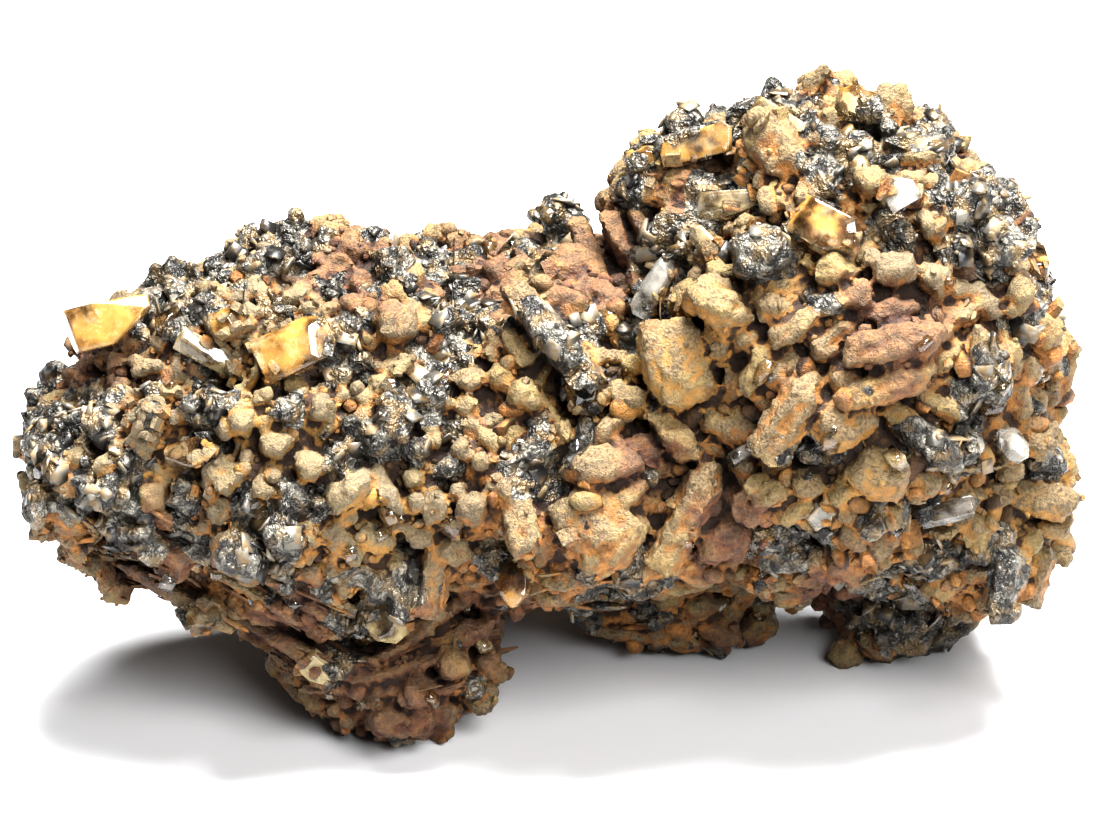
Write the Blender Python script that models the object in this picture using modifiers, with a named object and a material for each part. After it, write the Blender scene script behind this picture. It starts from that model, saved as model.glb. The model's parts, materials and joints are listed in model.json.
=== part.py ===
"""Limonite with quartz: a knobbly lump of rusty iron ore with quartz crystals set in it.

The ore grew as one mass, so it is one solid, and each larger quartz crystal is a solid of its
own that sits in a socket of the ore. Metres, +Z up. The stone stands on its own three feet, and
its origin is the middle of its outline on the surface under it.

Run with: blender --background --python part.py
"""

import math
import random
from collections import namedtuple

import bmesh
import bpy
from mathutils import Matrix, Vector
from mathutils.bvhtree import BVHTree

MM = 0.001
NAME = "limonite_with_quartz"

# The stone is 115 mm long. Every size and place below is in millimetres on a stone of that length.
SEED = 11
MASS_GRAIN = 1.5  # voxel size while the bare mass is made
KNOB_GRAIN = 0.8  # voxel size once the knobs are on it
ORE_TRIANGLES = 6300  # before the sockets are cut
FLOOR = 0.0  # height of the surface that the worn feet stand on
SOCKET_GAP = 0.55  # how far a socket is cut outside its crystal's corners
KNOB_COUNT = 430
KNOB_RADIUS = (1.6, 3.1)
SWELLS = ((16, 2.6), (7, 1.3))  # wave length and height of the bare mass's unevenness

# Places on the front are given as they look from a point straight in front of the stone and
# a little above it: across to the right, and up, from the middle of the front.
SIGHT_DOWN = math.radians(25)
SIGHT_REACH = 600
FRONT_MIDDLE = Vector((0, 0, 34.4))
SIGHT = Vector((0, math.cos(SIGHT_DOWN), -math.sin(SIGHT_DOWN)))
ACROSS = Vector((1, 0, 0))
UP = ACROSS.cross(SIGHT)
VIEWPOINT = FRONT_MIDDLE - SIGHT * SIGHT_REACH

# The bare mass: lumps that run into each other, each with its middle, its half sizes along X, Y
# and Z, and its turn about Y in degrees.
Lump = namedtuple("Lump", "name middle half turn")
LUMPS = (
    Lump("left_body", (-27, 0, 32), (28, 22, 18.3), 0),
    Lump("left_end", (-45, -4, 31), (11.5, 13, 12.5), 0),
    Lump("left_shoulder", (-27, 4, 44), (14, 14, 7.5), -10),
    Lump("waist", (1, 1, 32), (26, 22, 17.5), 0),
    Lump("right_body", (31, 2, 41), (22, 24, 26), 0),
    Lump("right_flank", (42, 5, 41), (11.5, 18, 16), 0),
    Lump("right_low_end", (47, 2, 24), (8.5, 15, 10.5), 0),
    Lump("crown_shoulder", (16, 8, 55), (9.5, 12, 7.5), -25),
    Lump("crown", (27, 5, 60), (10, 12, 7.5), 0),
    Lump("back_swell", (0, 13, 31.5), (44, 14, 16.5), 0),
    Lump("underside", (5, 13, 19), (37, 12, 10), 0),
    Lump("front_foot_neck", (-23, 0, 18), (16, 14, 9), 0),
    Lump("front_foot", (-17.5, -5, 9.6), (12, 12.5, 9.8), 0),
    Lump("middle_foot", (14, 13, 9.4), (12, 9.5, 8), 0),
    Lump("right_foot", (38, 12, 8.4), (9.5, 9.5, 8.6), 0),
    Lump("rear_foot", (-18, 19, 9.8), (13, 9.5, 10), 0),
)

# Hollows in the front, as they look from the viewpoint: across, up, length, height, depth, turn.
Hollow = namedtuple("Hollow", "name across up length height depth turn")
HOLLOWS = (
    Hollow("slot_under_left_lip", -45, -16.5, 16, 3.4, 8, -22),
    Hollow("slot_over_front_foot", -26, -24, 20, 3.0, 9, -14),
    Hollow("slot_under_middle_lip", -4, -20.5, 15, 2.4, 7, 8),
    Hollow("recess_left_shoulder", -49, 4.2, 8, 6, 5, 0),
    Hollow("gap_under_golden_plate", 30.5, 17.2, 8.5, 2.8, 6, -14),
    Hollow("gap_under_hexagon", 5.6, -0.4, 8, 3.6, 6, 5),
    Hollow("gap_under_knob", 24.6, 9.0, 5.5, 2.4, 4.5, -10),
    Hollow("gap_right_of_block", 22.8, 0.8, 3.2, 3.2, 4, 0),
    Hollow("gap_under_rolls", 40, 0.8, 9.5, 3.0, 6, 12),
    Hollow("slot_right", 40, -13.6, 13, 2.2, 6, 8),
    Hollow("hollow_right_foot", 31, -20, 9, 7, 7, 20),
    Hollow("dark_notch_left", -36, -17.2, 7, 3.6, 7, -25),
)

# What stands out of the front: coated prisms, rolls, lips and blocks of ore. Turn is degrees up
# from across, rise is degrees towards the viewer, and proud is how far it stands out.
Growth = namedtuple("Growth", "name across up length width turn rise proud")
GROWTHS = (
    Growth("left_lip", -45.5, -12.6, 22, 3.4, -30, 0, 4.2),
    Growth("front_lip", -27, -21.4, 20, 3.2, -14, 0, 3.9),
    Growth("middle_lip", -2.5, -22.4, 22, 3.4, 11, 0, 2.9),
    Growth("right_middle_lip", 15.5, -18.6, 17, 3.2, 6, 0, 3.4),
    Growth("right_lip", 41, -12.6, 17, 3.0, 4, 0, 3.4),
    Growth("foot_lip", -24, -28.2, 15, 3.0, -36, 0, 2.9),
    Growth("big_block", 13.8, 5.1, 9.6, 7.2, -68, 8, 4.4),
    Growth("upper_prism", 26.2, -0.3, 10, 5.0, 58, 14, 3.4),
    Growth("long_prism", 14.9, -10.8, 12.5, 4.6, 62, 12, 3.6),
    Growth("coated_pyramid", 5.4, -13.2, 9.6, 7.8, -36, 6, 4.2),
    Growth("upper_roll", 37.3, 7.3, 10, 4.8, 10, 5, 3.6),
    Growth("lower_roll", 36.8, 3.0, 9.4, 4.0, 20, 5, 3.1),
    Growth("ochre_rod", 40.2, -2.6, 10.5, 4.4, -40, 6, 1.8),
    Growth("nodule", 2.7, 14.6, 8.0, 7.6, 0, 0, 2.9),
    Growth("rust_column_a", 4.6, 18.6, 7.5, 2.8, -60, 0, 2.1),
    Growth("rust_column_b", 7.8, 18.2, 7.5, 2.8, -62, 0, 2.3),
    Growth("diagonal_finger", 0.3, 8.2, 13.5, 4.2, -50, 14, 3.4),
    Growth("yellow_knob", -16.8, 9.6, 5.2, 5.0, 0, 0, 3.1),
    Growth("upper_knob", 18.6, 11.1, 6.4, 4.6, -40, 20, 3.9),
    Growth("crown_block", 22.7, 17.2, 5.8, 5.2, 20, 0, 3.1),
    Growth("right_boulder", 31.6, -2.0, 7.4, 5.8, 20, 0, 3.1),
    Growth("short_rod", 13.6, -2.6, 6.8, 3.8, -50, 10, 2.9),
    Growth("left_prism_a", -12.4, -16.8, 8.8, 4.0, 80, 10, 3.6),
    Growth("left_prism_b", -16.2, -18.4, 7.6, 3.2, 96, 10, 2.9),
    Growth("left_boulder", -33.6, -15.6, 7.0, 5.6, -30, 0, 3.1),
    Growth("middle_block", 18.6, -12.8, 6.8, 6.0, 32, 0, 3.1),
    Growth("middle_mound", 5.6, -5.8, 8.8, 5.0, 10, 0, 2.3),
    Growth("low_rod", 9.8, -16.4, 6.2, 4.6, 20, 0, 2.6),
    Growth("right_block", 35.5, -7.2, 6.4, 5.6, -20, 0, 3.1),
    Growth("right_end_knob", 53.0, -5.4, 5.6, 4.2, 0, 0, 2.1),
    Growth("right_end_roll", 53.2, -9.4, 7.2, 4.4, -10, 0, 2.1),
    Growth("right_column_a", 49.0, -17.6, 7.6, 4.4, 80, 0, 2.3),
    Growth("right_column_b", 52.4, -17.2, 7.2, 4.2, 72, 0, 2.1),
    Growth("brown_knob_a", -14.3, -30.0, 4.4, 4.2, 0, 0, 2.6),
    Growth("brown_knob_b", -10.6, -27.0, 4.2, 4.0, 0, 0, 2.3),
    Growth("brown_knob_c", -17.4, -33.0, 4.8, 4.2, 0, 0, 2.1),
    Growth("left_tip_ridge", -53.0, -5.2, 8.6, 5.0, -12, 0, 2.3),
    Growth("left_tip_swell", -45.4, -6.2, 9.0, 6.0, -8, 0, 2.3),
    Growth("shoulder_crest_a", -32.4, 18.4, 7.0, 4.0, 0, 0, 1.8),
    Growth("shoulder_crest_b", -27.0, 17.8, 6.0, 3.6, 0, 0, 1.8),
)

# Quartz on the front. A prism has six sides and a point at its raised end. A chunk is broken,
# with flat faces at all angles.
Quartz = namedtuple("Quartz", "name kind across up length width depth turn rise proud tone")
FRONT_QUARTZ = (
    Quartz("quartz_shoulder_block", "chunk", -48.2, 9.6, 10.5, 4.8, 6.0, 14, 0, 1.6, "amber"),
    Quartz("quartz_amber_plate", "chunk", -27.6, 7.1, 8.4, 5.0, 4.2, 26, 0, 1.5, "amber"),
    Quartz("quartz_milky_sliver", "chunk", -37.0, 6.4, 7.2, 2.6, 3.2, -28, 0, 1.1, "milky"),
    Quartz("quartz_honey_chip", "chunk", -38.9, -4.4, 5.2, 2.9, 3.2, 18, 0, 1.3, "amber"),
    Quartz("quartz_hexagon", "prism", 3.6, 3.2, 6.4, 4.8, 4.8, -62, 42, 2.0, "amber"),
    Quartz("quartz_golden_plate", "chunk", 29.8, 20.0, 7.2, 4.4, 3.4, -28, 8, 1.8, "amber"),
    Quartz("quartz_honey_prism", "prism", 21.4, 27.0, 5.2, 3.2, 3.2, 78, 20, 1.4, "amber"),
    Quartz("quartz_golden_block", "chunk", 19.0, 22.4, 6.2, 3.0, 3.4, 4, 0, 1.5, "milky"),
    Quartz("quartz_pale_tablet", "chunk", 16.9, 18.2, 5.2, 2.0, 2.6, -44, 0, 1.1, "milky"),
    Quartz("quartz_pale_lump", "chunk", 24.3, 31.0, 6.2, 3.8, 4.0, -30, 0, 1.5, "milky"),
    Quartz("quartz_honey_mass", "chunk", 15.8, 29.0, 8.0, 3.2, 4.0, 14, 0, 1.4, "amber"),
    Quartz("quartz_crest_block", "chunk", 33.5, 33.2, 5.4, 3.4, 4.4, -20, 0, 1.8, "amber"),
    Quartz("quartz_armoured_block", "chunk", -17.8, -21.6, 6.2, 5.6, 5.4, 80, 0, 2.6, "milky"),
    Quartz("quartz_fire_tip", "prism", -3.6, -17.8, 5.8, 3.8, 3.8, -100, 30, 1.8, "amber"),
    Quartz("quartz_dark_window", "chunk", -46.6, -14.8, 7.2, 3.0, 4.4, -8, 0, 1.2, "clear"),
    Quartz("quartz_foot_wedge", "chunk", -36.4, -22.4, 4.6, 3.2, 3.4, 10, 0, 1.2, "clear"),
    Quartz("quartz_rose_prism", "prism", 42.6, -10.9, 7.4, 2.4, 2.4, 14, 6, 1.2, "clear"),
    Quartz("quartz_cuffed_a", "prism", 45.4, -3.2, 5.2, 3.0, 3.0, -80, 62, 1.6, "clear"),
    Quartz("quartz_cuffed_b", "prism", 50.0, -3.4, 4.8, 2.8, 2.8, -60, 58, 1.4, "clear"),
    Quartz("quartz_striated_prism", "prism", 10.9, 13.0, 7.6, 2.8, 2.8, 62, 6, 1.3, "clear"),
    Quartz("quartz_smoky_prism", "chunk", 37.8, 23.8, 3.6, 3.2, 3.4, 30, 0, 1.4, "clear"),
)

# Quartz on the sides, top and back: where it points from the middle of the stone (compass turn
# from the front, going right, and height above level, in degrees), then its sizes.
FarQuartz = namedtuple("FarQuartz", "name kind bearing height length width depth turn proud tone")
FAR_QUARTZ = (
    FarQuartz("quartz_back_plate", "chunk", 168, 18, 9.0, 5.0, 4.6, 20, 1.6, "amber"),
    FarQuartz("quartz_back_prism", "prism", 214, 4, 8.2, 4.0, 4.0, 60, 1.9, "amber"),
    FarQuartz("quartz_back_milky", "chunk", 150, -8, 6.4, 4.2, 4.2, -30, 1.5, "milky"),
    FarQuartz("quartz_right_side", "chunk", 96, 16, 6.6, 4.2, 4.4, 10, 1.5, "amber"),
    FarQuartz("quartz_left_side", "chunk", 247, 6, 5.6, 3.6, 3.8, 70, 1.4, "milky"),
    FarQuartz("quartz_top_back", "prism", 176, 58, 6.0, 3.4, 3.4, 35, 1.4, "amber"),
)

MATERIALS = {
    "limonite": ((0.33, 0.21, 0.10), 0.75),
    "amber": ((0.80, 0.45, 0.12), 0.18),
    "milky": ((0.82, 0.72, 0.50), 0.22),
    "clear": ((0.62, 0.60, 0.56), 0.12),
}


def clear_scene():
    for old in list(bpy.data.objects):
        bpy.data.objects.remove(old)


def collection(name):
    """A new collection, linked to the scene."""
    made = bpy.data.collections.new(name)
    bpy.context.scene.collection.children.link(made)
    return made


def material(name):
    colour, roughness = MATERIALS[name]
    made = bpy.data.materials.new(name)
    made.use_nodes = True
    shader = made.node_tree.nodes["Principled BSDF"]
    shader.inputs["Base Color"].default_value = (*colour, 1)
    shader.inputs["Roughness"].default_value = roughness
    shader.inputs["Metallic"].default_value = 0
    return made


def object_of(name, bm, home):
    """An object in the home collection that holds this bmesh."""
    mesh = bpy.data.meshes.new(name)
    bm.to_mesh(mesh)
    bm.free()
    made = bpy.data.objects.new(name, mesh)
    home.objects.link(made)
    return made


def bake(obj):
    """Turns the object's modifiers into its mesh."""
    bpy.context.view_layer.update()
    graph = bpy.context.evaluated_depsgraph_get()
    mesh = bpy.data.meshes.new_from_object(obj.evaluated_get(graph))
    obj.modifiers.clear()
    obj.data = mesh


def fuse(obj, grain, smoothing):
    """Makes the overlapping closed shapes in a mesh one skin, and eases the creases between them."""
    remesh = obj.modifiers.new("Fuse", "REMESH")
    remesh.mode = "VOXEL"
    remesh.voxel_size = grain * MM
    smooth = obj.modifiers.new("Ease", "SMOOTH")
    smooth.factor = 0.5
    smooth.iterations = smoothing
    bake(obj)


def tree_of(obj):
    return BVHTree.FromObject(obj, bpy.context.evaluated_depsgraph_get())


def boolean(obj, other, operation):
    step = obj.modifiers.new(operation.title(), "BOOLEAN")
    step.operation = operation
    step.solver = "EXACT"
    step.object = other
    bake(obj)


# Sight lines


def sight_line(across, up):
    """The direction in which the viewpoint sees a place on the front."""
    return (FRONT_MIDDLE + ACROSS * across + UP * up - VIEWPOINT).normalized()


def front_place(tree, across, up):
    """The point and the outward normal where a sight line meets the stone, in metres."""
    line = sight_line(across, up)
    point, normal, _, _ = tree.ray_cast(VIEWPOINT * MM, line)
    if point is None:
        point, normal, _, _ = tree.find_nearest((VIEWPOINT + line * SIGHT_REACH) * MM)
    return point, normal


def far_place(tree, bearing, height):
    """The point and the outward normal in a compass direction from the middle of the stone."""
    turn, lift = math.radians(bearing), math.radians(height)
    out = Vector((math.sin(turn) * math.cos(lift), -math.cos(turn) * math.cos(lift), math.sin(lift)))
    start = (FRONT_MIDDLE + out * SIGHT_REACH) * MM
    point, normal, _, _ = tree.ray_cast(start, -out)
    return point, normal


def front_axes(turn, rise):
    """The long, wide and outward directions of something on the front."""
    angle, lift = math.radians(turn), math.radians(rise)
    flat = ACROSS * math.cos(angle) + UP * math.sin(angle)
    long = flat * math.cos(lift) - SIGHT * math.sin(lift)
    wide = (-SIGHT).cross(long).normalized()
    return long, wide, long.cross(wide)


def surface_axes(normal, turn):
    """The same three directions for something that lies on a surface with this normal."""
    side = Vector((0, 0, 1)).cross(normal)
    side = side.normalized() if side.length > 0.1 else Vector((1, 0, 0))
    angle = math.radians(turn)
    long = side * math.cos(angle) + normal.cross(side) * math.sin(angle)
    return long, normal.cross(long), normal


def placed(point, axes, sizes):
    """The matrix that puts a shape of unit size at a point, along three axes, at these sizes."""
    turn = Matrix(axes).transposed().to_4x4()
    return Matrix.Translation(point) @ turn @ Matrix.Diagonal((*sizes, 1))


# The ore


def ball(subdivisions, squareness=1.0):
    """A ball of unit radius. Squareness below 1 makes it a rounded block."""
    bm = bmesh.new()
    bmesh.ops.create_icosphere(bm, subdivisions=subdivisions, radius=1)
    points = [Vector([math.copysign(abs(c) ** squareness, c) for c in v.co]) for v in bm.verts]
    faces = [[v.index for v in face.verts] for face in bm.faces]
    bm.free()
    return points, faces


class Heap:
    """Closed shapes that overlap, gathered into one object before they are fused."""

    def __init__(self):
        self.points = []
        self.faces = []

    def add(self, shape, matrix):
        points, faces = shape
        first = len(self.points)
        self.points += [matrix @ p for p in points]
        self.faces += [[first + i for i in face] for face in faces]

    def add_object(self, obj):
        faces = [list(p.vertices) for p in obj.data.polygons]
        self.add(([v.co.copy() for v in obj.data.vertices], faces), Matrix.Identity(4))

    def pour(self, obj):
        """Makes this heap the object's mesh."""
        mesh = bpy.data.meshes.new(obj.name)
        mesh.from_pydata(self.points, [], self.faces)
        obj.data = mesh


def empty_object(name, home):
    made = bpy.data.objects.new(name, bpy.data.meshes.new(name))
    home.objects.link(made)
    return made


def swell(obj, waves):
    """Makes the surface uneven, in waves of these lengths and heights."""
    for number, (wave, height) in enumerate(waves):
        clouds = bpy.data.textures.new(f"swell_{number}", "CLOUDS")
        clouds.noise_scale = wave * MM
        step = obj.modifiers.new("Swell", "DISPLACE")
        step.texture = clouds
        step.texture_coords = "LOCAL"
        step.strength = height * MM
        step.mid_level = 0.5
    bake(obj)


def bare_mass(home):
    """The lumps run together and made uneven."""
    heap = Heap()
    unit = ball(4)
    for lump in LUMPS:
        turn = Matrix.Rotation(math.radians(lump.turn), 4, "Y")
        size = Matrix.Diagonal((*(h * MM for h in lump.half), 1))
        heap.add(unit, Matrix.Translation(Vector(lump.middle) * MM) @ turn @ size)
    mass = empty_object("limonite_matrix", home)
    heap.pour(mass)
    fuse(mass, MASS_GRAIN, 6)
    swell(mass, SWELLS)
    return mass


def hollow_out(mass, cutters):
    """Cuts the hollows, each a flattened ball whose middle is on the surface."""
    tree = tree_of(mass)
    heap = Heap()
    unit = ball(3)
    for pit in HOLLOWS:
        point, _ = front_place(tree, pit.across, pit.up)
        sizes = [s * MM / 2 for s in (pit.length, pit.height, 2 * pit.depth)]
        heap.add(unit, placed(point, front_axes(pit.turn, 0), sizes))
    cutter = empty_object("hollows", cutters)
    heap.pour(cutter)
    fuse(cutter, MASS_GRAIN / 2, 1)
    boolean(mass, cutter, "DIFFERENCE")
    cutter.hide_render = True
    cutter.display_type = "WIRE"


def add_growths(heap, tree):
    """The named growths of the front, each half sunk where its sight line meets the mass."""
    block = ball(3, squareness=0.72)
    taken = []
    for growth in GROWTHS:
        point, _ = front_place(tree, growth.across, growth.up)
        long, wide, out = front_axes(growth.turn, growth.rise)
        thick = growth.proud + 3
        centre = point + out * (growth.proud - thick / 2) * MM
        sizes = [s * MM / 2 for s in (growth.length, growth.width, thick)]
        heap.add(block, placed(centre, (long, wide, out), sizes))
        for step in (-0.3, 0, 0.3):
            taken.append((point + long * growth.length * step * MM, growth.width / 2 * MM))
    return taken


def random_places(mass, count, chance):
    """Points spread over a mesh by area, with their normals."""
    polygons = mass.data.polygons
    areas = [p.area for p in polygons]
    for polygon in chance.choices(polygons, weights=areas, k=count):
        yield polygon.center.copy(), polygon.normal.copy()


def add_knobs(heap, mass, taken, chance):
    """Knobs, fingers and small blocks all over the mass, none on top of another."""
    shapes = [ball(2), ball(2, 0.8), ball(2, 0.62)]
    left = KNOB_COUNT
    for point, normal in random_places(mass, 8 * KNOB_COUNT, chance):
        radius = chance.uniform(*KNOB_RADIUS) * MM
        near = any((point - p).length < 0.72 * (radius + r) for p, r in taken)
        if near or left == 0:
            continue
        left -= 1
        taken.append((point, radius))
        lean = Vector([chance.uniform(-1, 1) for _ in range(3)]) * 0.5
        axes = surface_axes((normal + lean).normalized(), chance.uniform(0, 180))
        stretch = chance.choice((1.0, 1.0, 1.2, 1.5, 1.8))
        sizes = (radius * stretch, radius, radius * chance.uniform(0.95, 1.3))
        heap.add(chance.choice(shapes), placed(point, axes, sizes))


def thin_out(obj, triangles):
    """Fewer triangles, kept where the surface bends most."""
    faces = sum(len(p.vertices) - 2 for p in obj.data.polygons)
    step = obj.modifiers.new("Thin", "DECIMATE")
    step.ratio = triangles / faces
    step.use_collapse_triangulate = True
    bake(obj)


def wear_feet(obj):
    """Cuts the feet off level, so that the stone stands on three small flats."""
    bm = bmesh.new()
    bm.from_mesh(obj.data)
    everything = bm.verts[:] + bm.edges[:] + bm.faces[:]
    level = Vector((0, 0, FLOOR * MM))
    cut = bmesh.ops.bisect_plane(
        bm, geom=everything, plane_co=level, plane_no=(0, 0, -1), clear_outer=True
    )["geom_cut"]
    rim = [e for e in cut if isinstance(e, bmesh.types.BMEdge)]
    bmesh.ops.edgeloop_fill(bm, edges=rim)
    bmesh.ops.triangulate(bm, faces=bm.faces[:])
    bm.to_mesh(obj.data)
    bm.free()


def drop_crumbs(obj):
    """Keeps the largest closed shell and removes any crumb that a cut or the thinning set free."""
    bm = bmesh.new()
    bm.from_mesh(obj.data)
    left = set(bm.verts)
    shells = []
    while left:
        shell, edge = set(), {left.pop()}
        while edge:
            shell |= edge
            edge = {e.other_vert(v) for v in edge for e in v.link_edges} - shell
        left -= shell
        shells.append(shell)
    largest = max(shells, key=len)
    crumbs = [v for v in bm.verts if v not in largest]
    bmesh.ops.delete(bm, geom=crumbs, context="VERTS")
    bm.to_mesh(obj.data)
    bm.free()


def make_ore(home, cutters):
    """The whole limonite body, before the sockets of the quartz are cut."""
    chance = random.Random(SEED)
    ore = bare_mass(home)
    hollow_out(ore, cutters)
    heap = Heap()
    heap.add_object(ore)
    taken = add_growths(heap, tree_of(ore))
    add_knobs(heap, ore, taken, chance)
    heap.pour(ore)
    fuse(ore, KNOB_GRAIN, 1)
    thin_out(ore, ORE_TRIANGLES)
    wear_feet(ore)
    return ore


# The quartz


def add_prism(bm, matrix):
    """A six-sided crystal of unit half length and radius along X, with a point at +X."""
    along = Matrix.Rotation(math.radians(90), 4, "Y")
    verts = bmesh.ops.create_cone(
        bm, cap_ends=True, segments=6, radius1=1, radius2=1, depth=2, matrix=along
    )["verts"]
    end = max(bm.faces, key=lambda f: f.calc_center_median().x)
    tip = bmesh.ops.extrude_face_region(bm, geom=[end])["geom"]
    bmesh.ops.delete(bm, geom=[end], context="FACES_ONLY")
    shoulder = [v for v in verts if v.co.x > 0]
    crown = [v for v in tip if isinstance(v, bmesh.types.BMVert)]
    bmesh.ops.translate(bm, verts=shoulder, vec=(-0.42, 0, 0))
    for vert in crown:
        vert.co.y = vert.co.y * 0.16 + 0.12
        vert.co.z = vert.co.z * 0.16
    bmesh.ops.transform(bm, matrix=matrix, verts=bm.verts)


def add_chunk(bm, matrix, chance):
    """A broken piece of unit half sizes: a block with its corners split off by flat cuts."""
    bmesh.ops.create_cube(bm, size=2)
    for _ in range(5):
        normal = Vector([chance.uniform(-1, 1) for _ in range(3)]).normalized()
        reach = sum(abs(c) for c in normal) * chance.uniform(0.56, 0.74)
        everything = bm.verts[:] + bm.edges[:] + bm.faces[:]
        cut = bmesh.ops.bisect_plane(
            bm, geom=everything, plane_co=normal * reach, plane_no=normal, clear_outer=True
        )["geom_cut"]
        rim = [e for e in cut if isinstance(e, bmesh.types.BMEdge)]
        if rim:
            bmesh.ops.edgeloop_fill(bm, edges=rim)
    bmesh.ops.dissolve_degenerate(bm, dist=0.06, edges=bm.edges)
    bmesh.ops.recalc_face_normals(bm, faces=bm.faces)
    bmesh.ops.transform(bm, matrix=matrix, verts=bm.verts)


def crystal(name, quartz, matrix, home):
    bm = bmesh.new()
    if quartz.kind == "prism":
        add_prism(bm, matrix)
    else:
        add_chunk(bm, matrix, random.Random(quartz.name))
    bmesh.ops.triangulate(bm, faces=bm.faces[:])
    return object_of(name, bm, home)


def quartz_matrix(quartz, point, axes, grown):
    """Where a crystal goes: sunk so that it stands proud by its own amount."""
    centre = point + axes[2] * (quartz.proud - quartz.depth / 2) * MM
    if quartz.kind == "prism":
        centre += axes[0] * quartz.length * 0.12 * MM
    sizes = [(s / 2 + grown) * MM for s in (quartz.length, quartz.width, quartz.depth)]
    return placed(centre, axes, sizes)


def set_crystal(ore, quartz, point, axes, home, cutters):
    """Makes one crystal, and cuts its socket in the ore."""
    body = crystal(quartz.name, quartz, quartz_matrix(quartz, point, axes, 0), home)
    body.data.materials.append(bpy.data.materials[quartz.tone])
    grown = quartz_matrix(quartz, point, axes, SOCKET_GAP)
    cutter = crystal("socket_" + quartz.name, quartz, grown, cutters)
    boolean(ore, cutter, "DIFFERENCE")
    cutter.hide_render = True
    cutter.display_type = "WIRE"


def set_quartz(ore, home, cutters):
    tree = tree_of(ore)
    for quartz in FRONT_QUARTZ:
        point, _ = front_place(tree, quartz.across, quartz.up)
        set_crystal(ore, quartz, point, front_axes(quartz.turn, quartz.rise), home, cutters)
    for quartz in FAR_QUARTZ:
        point, normal = far_place(tree, quartz.bearing, quartz.height)
        set_crystal(ore, quartz, point, surface_axes(normal, quartz.turn), home, cutters)


def stand_on_origin(objects):
    """Moves the whole stone so that the origin is under its middle, at its feet."""
    corners = [v.co for obj in objects for v in obj.data.vertices]
    low = [min(c[i] for c in corners) for i in range(3)]
    high = [max(c[i] for c in corners) for i in range(3)]
    shift = Vector((-(low[0] + high[0]) / 2, -(low[1] + high[1]) / 2, -low[2]))
    for obj in objects:
        obj.data.transform(Matrix.Translation(shift))
    print("stood on the origin, shifted by mm:", [round(s / MM, 3) for s in shift])
    print("size in mm:", [round((h - l) / MM, 1) for l, h in zip(low, high)])


def main():
    clear_scene()
    home, cutters = collection(NAME), collection("cutters")
    for name in MATERIALS:
        material(name)
    ore = make_ore(home, cutters)
    set_quartz(ore, home, cutters)
    drop_crumbs(ore)
    ore.data.materials.clear()
    ore.data.materials.append(bpy.data.materials["limonite"])
    stand_on_origin(list(home.objects))
    print("ore triangles:", sum(len(p.vertices) - 2 for p in ore.data.polygons))


main()
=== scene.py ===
# %% [markdown]
# # A lump of limonite with quartz
#
# Limonite is rusty iron ore. It grows in layers over whatever is there, so its surface is all
# knobs, fingers and coated crystals, in ochre, rust and glossy black, with quartz showing through.
# This lesson takes the measured solids of the stone, gives them a grown skin, sets small dark
# crystals and quartz on that skin, and then paints it all by rules: what is proud, what lies in a
# crease, and which part of the stone it is on.

# %% The measured solids
import json
import math
from collections import namedtuple

import bpy
import numpy as np
from mathutils import Matrix, Vector
from mathutils.bvhtree import BVHTree
from mathutils.kdtree import KDTree
from mathutils.noise import noise as noise_at

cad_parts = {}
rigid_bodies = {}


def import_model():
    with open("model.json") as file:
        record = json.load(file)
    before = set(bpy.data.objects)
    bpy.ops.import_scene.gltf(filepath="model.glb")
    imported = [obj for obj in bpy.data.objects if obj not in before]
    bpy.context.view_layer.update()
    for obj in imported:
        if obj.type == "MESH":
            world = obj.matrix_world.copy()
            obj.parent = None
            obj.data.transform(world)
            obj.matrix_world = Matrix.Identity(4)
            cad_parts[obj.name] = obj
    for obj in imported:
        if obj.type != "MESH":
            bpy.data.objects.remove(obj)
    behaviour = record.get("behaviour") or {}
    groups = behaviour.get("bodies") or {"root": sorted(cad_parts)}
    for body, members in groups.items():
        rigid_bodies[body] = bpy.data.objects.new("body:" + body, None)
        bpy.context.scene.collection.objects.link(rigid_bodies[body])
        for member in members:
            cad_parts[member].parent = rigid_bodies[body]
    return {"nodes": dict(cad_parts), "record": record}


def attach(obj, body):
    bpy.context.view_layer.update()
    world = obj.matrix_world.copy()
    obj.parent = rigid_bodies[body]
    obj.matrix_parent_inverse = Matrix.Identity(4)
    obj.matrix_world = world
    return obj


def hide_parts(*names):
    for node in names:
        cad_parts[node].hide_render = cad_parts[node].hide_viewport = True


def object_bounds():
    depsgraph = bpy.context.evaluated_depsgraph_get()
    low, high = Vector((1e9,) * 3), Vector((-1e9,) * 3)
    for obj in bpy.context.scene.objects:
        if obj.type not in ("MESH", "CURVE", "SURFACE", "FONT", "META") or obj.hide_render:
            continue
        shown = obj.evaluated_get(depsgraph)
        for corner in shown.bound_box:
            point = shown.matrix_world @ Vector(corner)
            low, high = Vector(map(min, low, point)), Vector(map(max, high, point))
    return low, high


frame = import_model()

MM = 0.001
SEED = 5
scene = bpy.context.scene
nodes = frame["nodes"]
cad_box = [list(corner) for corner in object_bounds()]
print("solids' box, mm:", [[round(c / MM, 1) for c in corner] for corner in cad_box])

# %% [markdown]
# ## Where things are on the front
#
# The stone is looked at from in front and a little above. It is easiest to name a place on it as
# it is seen from there: so many millimetres across to the right, and so many up, from the middle
# of the front. A straight line from the viewpoint through that place meets the stone at one point,
# and what belongs there is set on the stone itself, so it is right from every side.

# %% The line of sight
SIGHT_DOWN = math.radians(25)
SIGHT_REACH = 600 * MM
FRONT_MIDDLE = Vector((0.43, -2.37, 34.4)) * MM
SIGHT = Vector((0, math.cos(SIGHT_DOWN), -math.sin(SIGHT_DOWN)))
ACROSS = Vector((1, 0, 0))
UP = ACROSS.cross(SIGHT)
VIEWPOINT = FRONT_MIDDLE - SIGHT * SIGHT_REACH
print("viewpoint, mm:", [round(c / MM) for c in VIEWPOINT])


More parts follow.
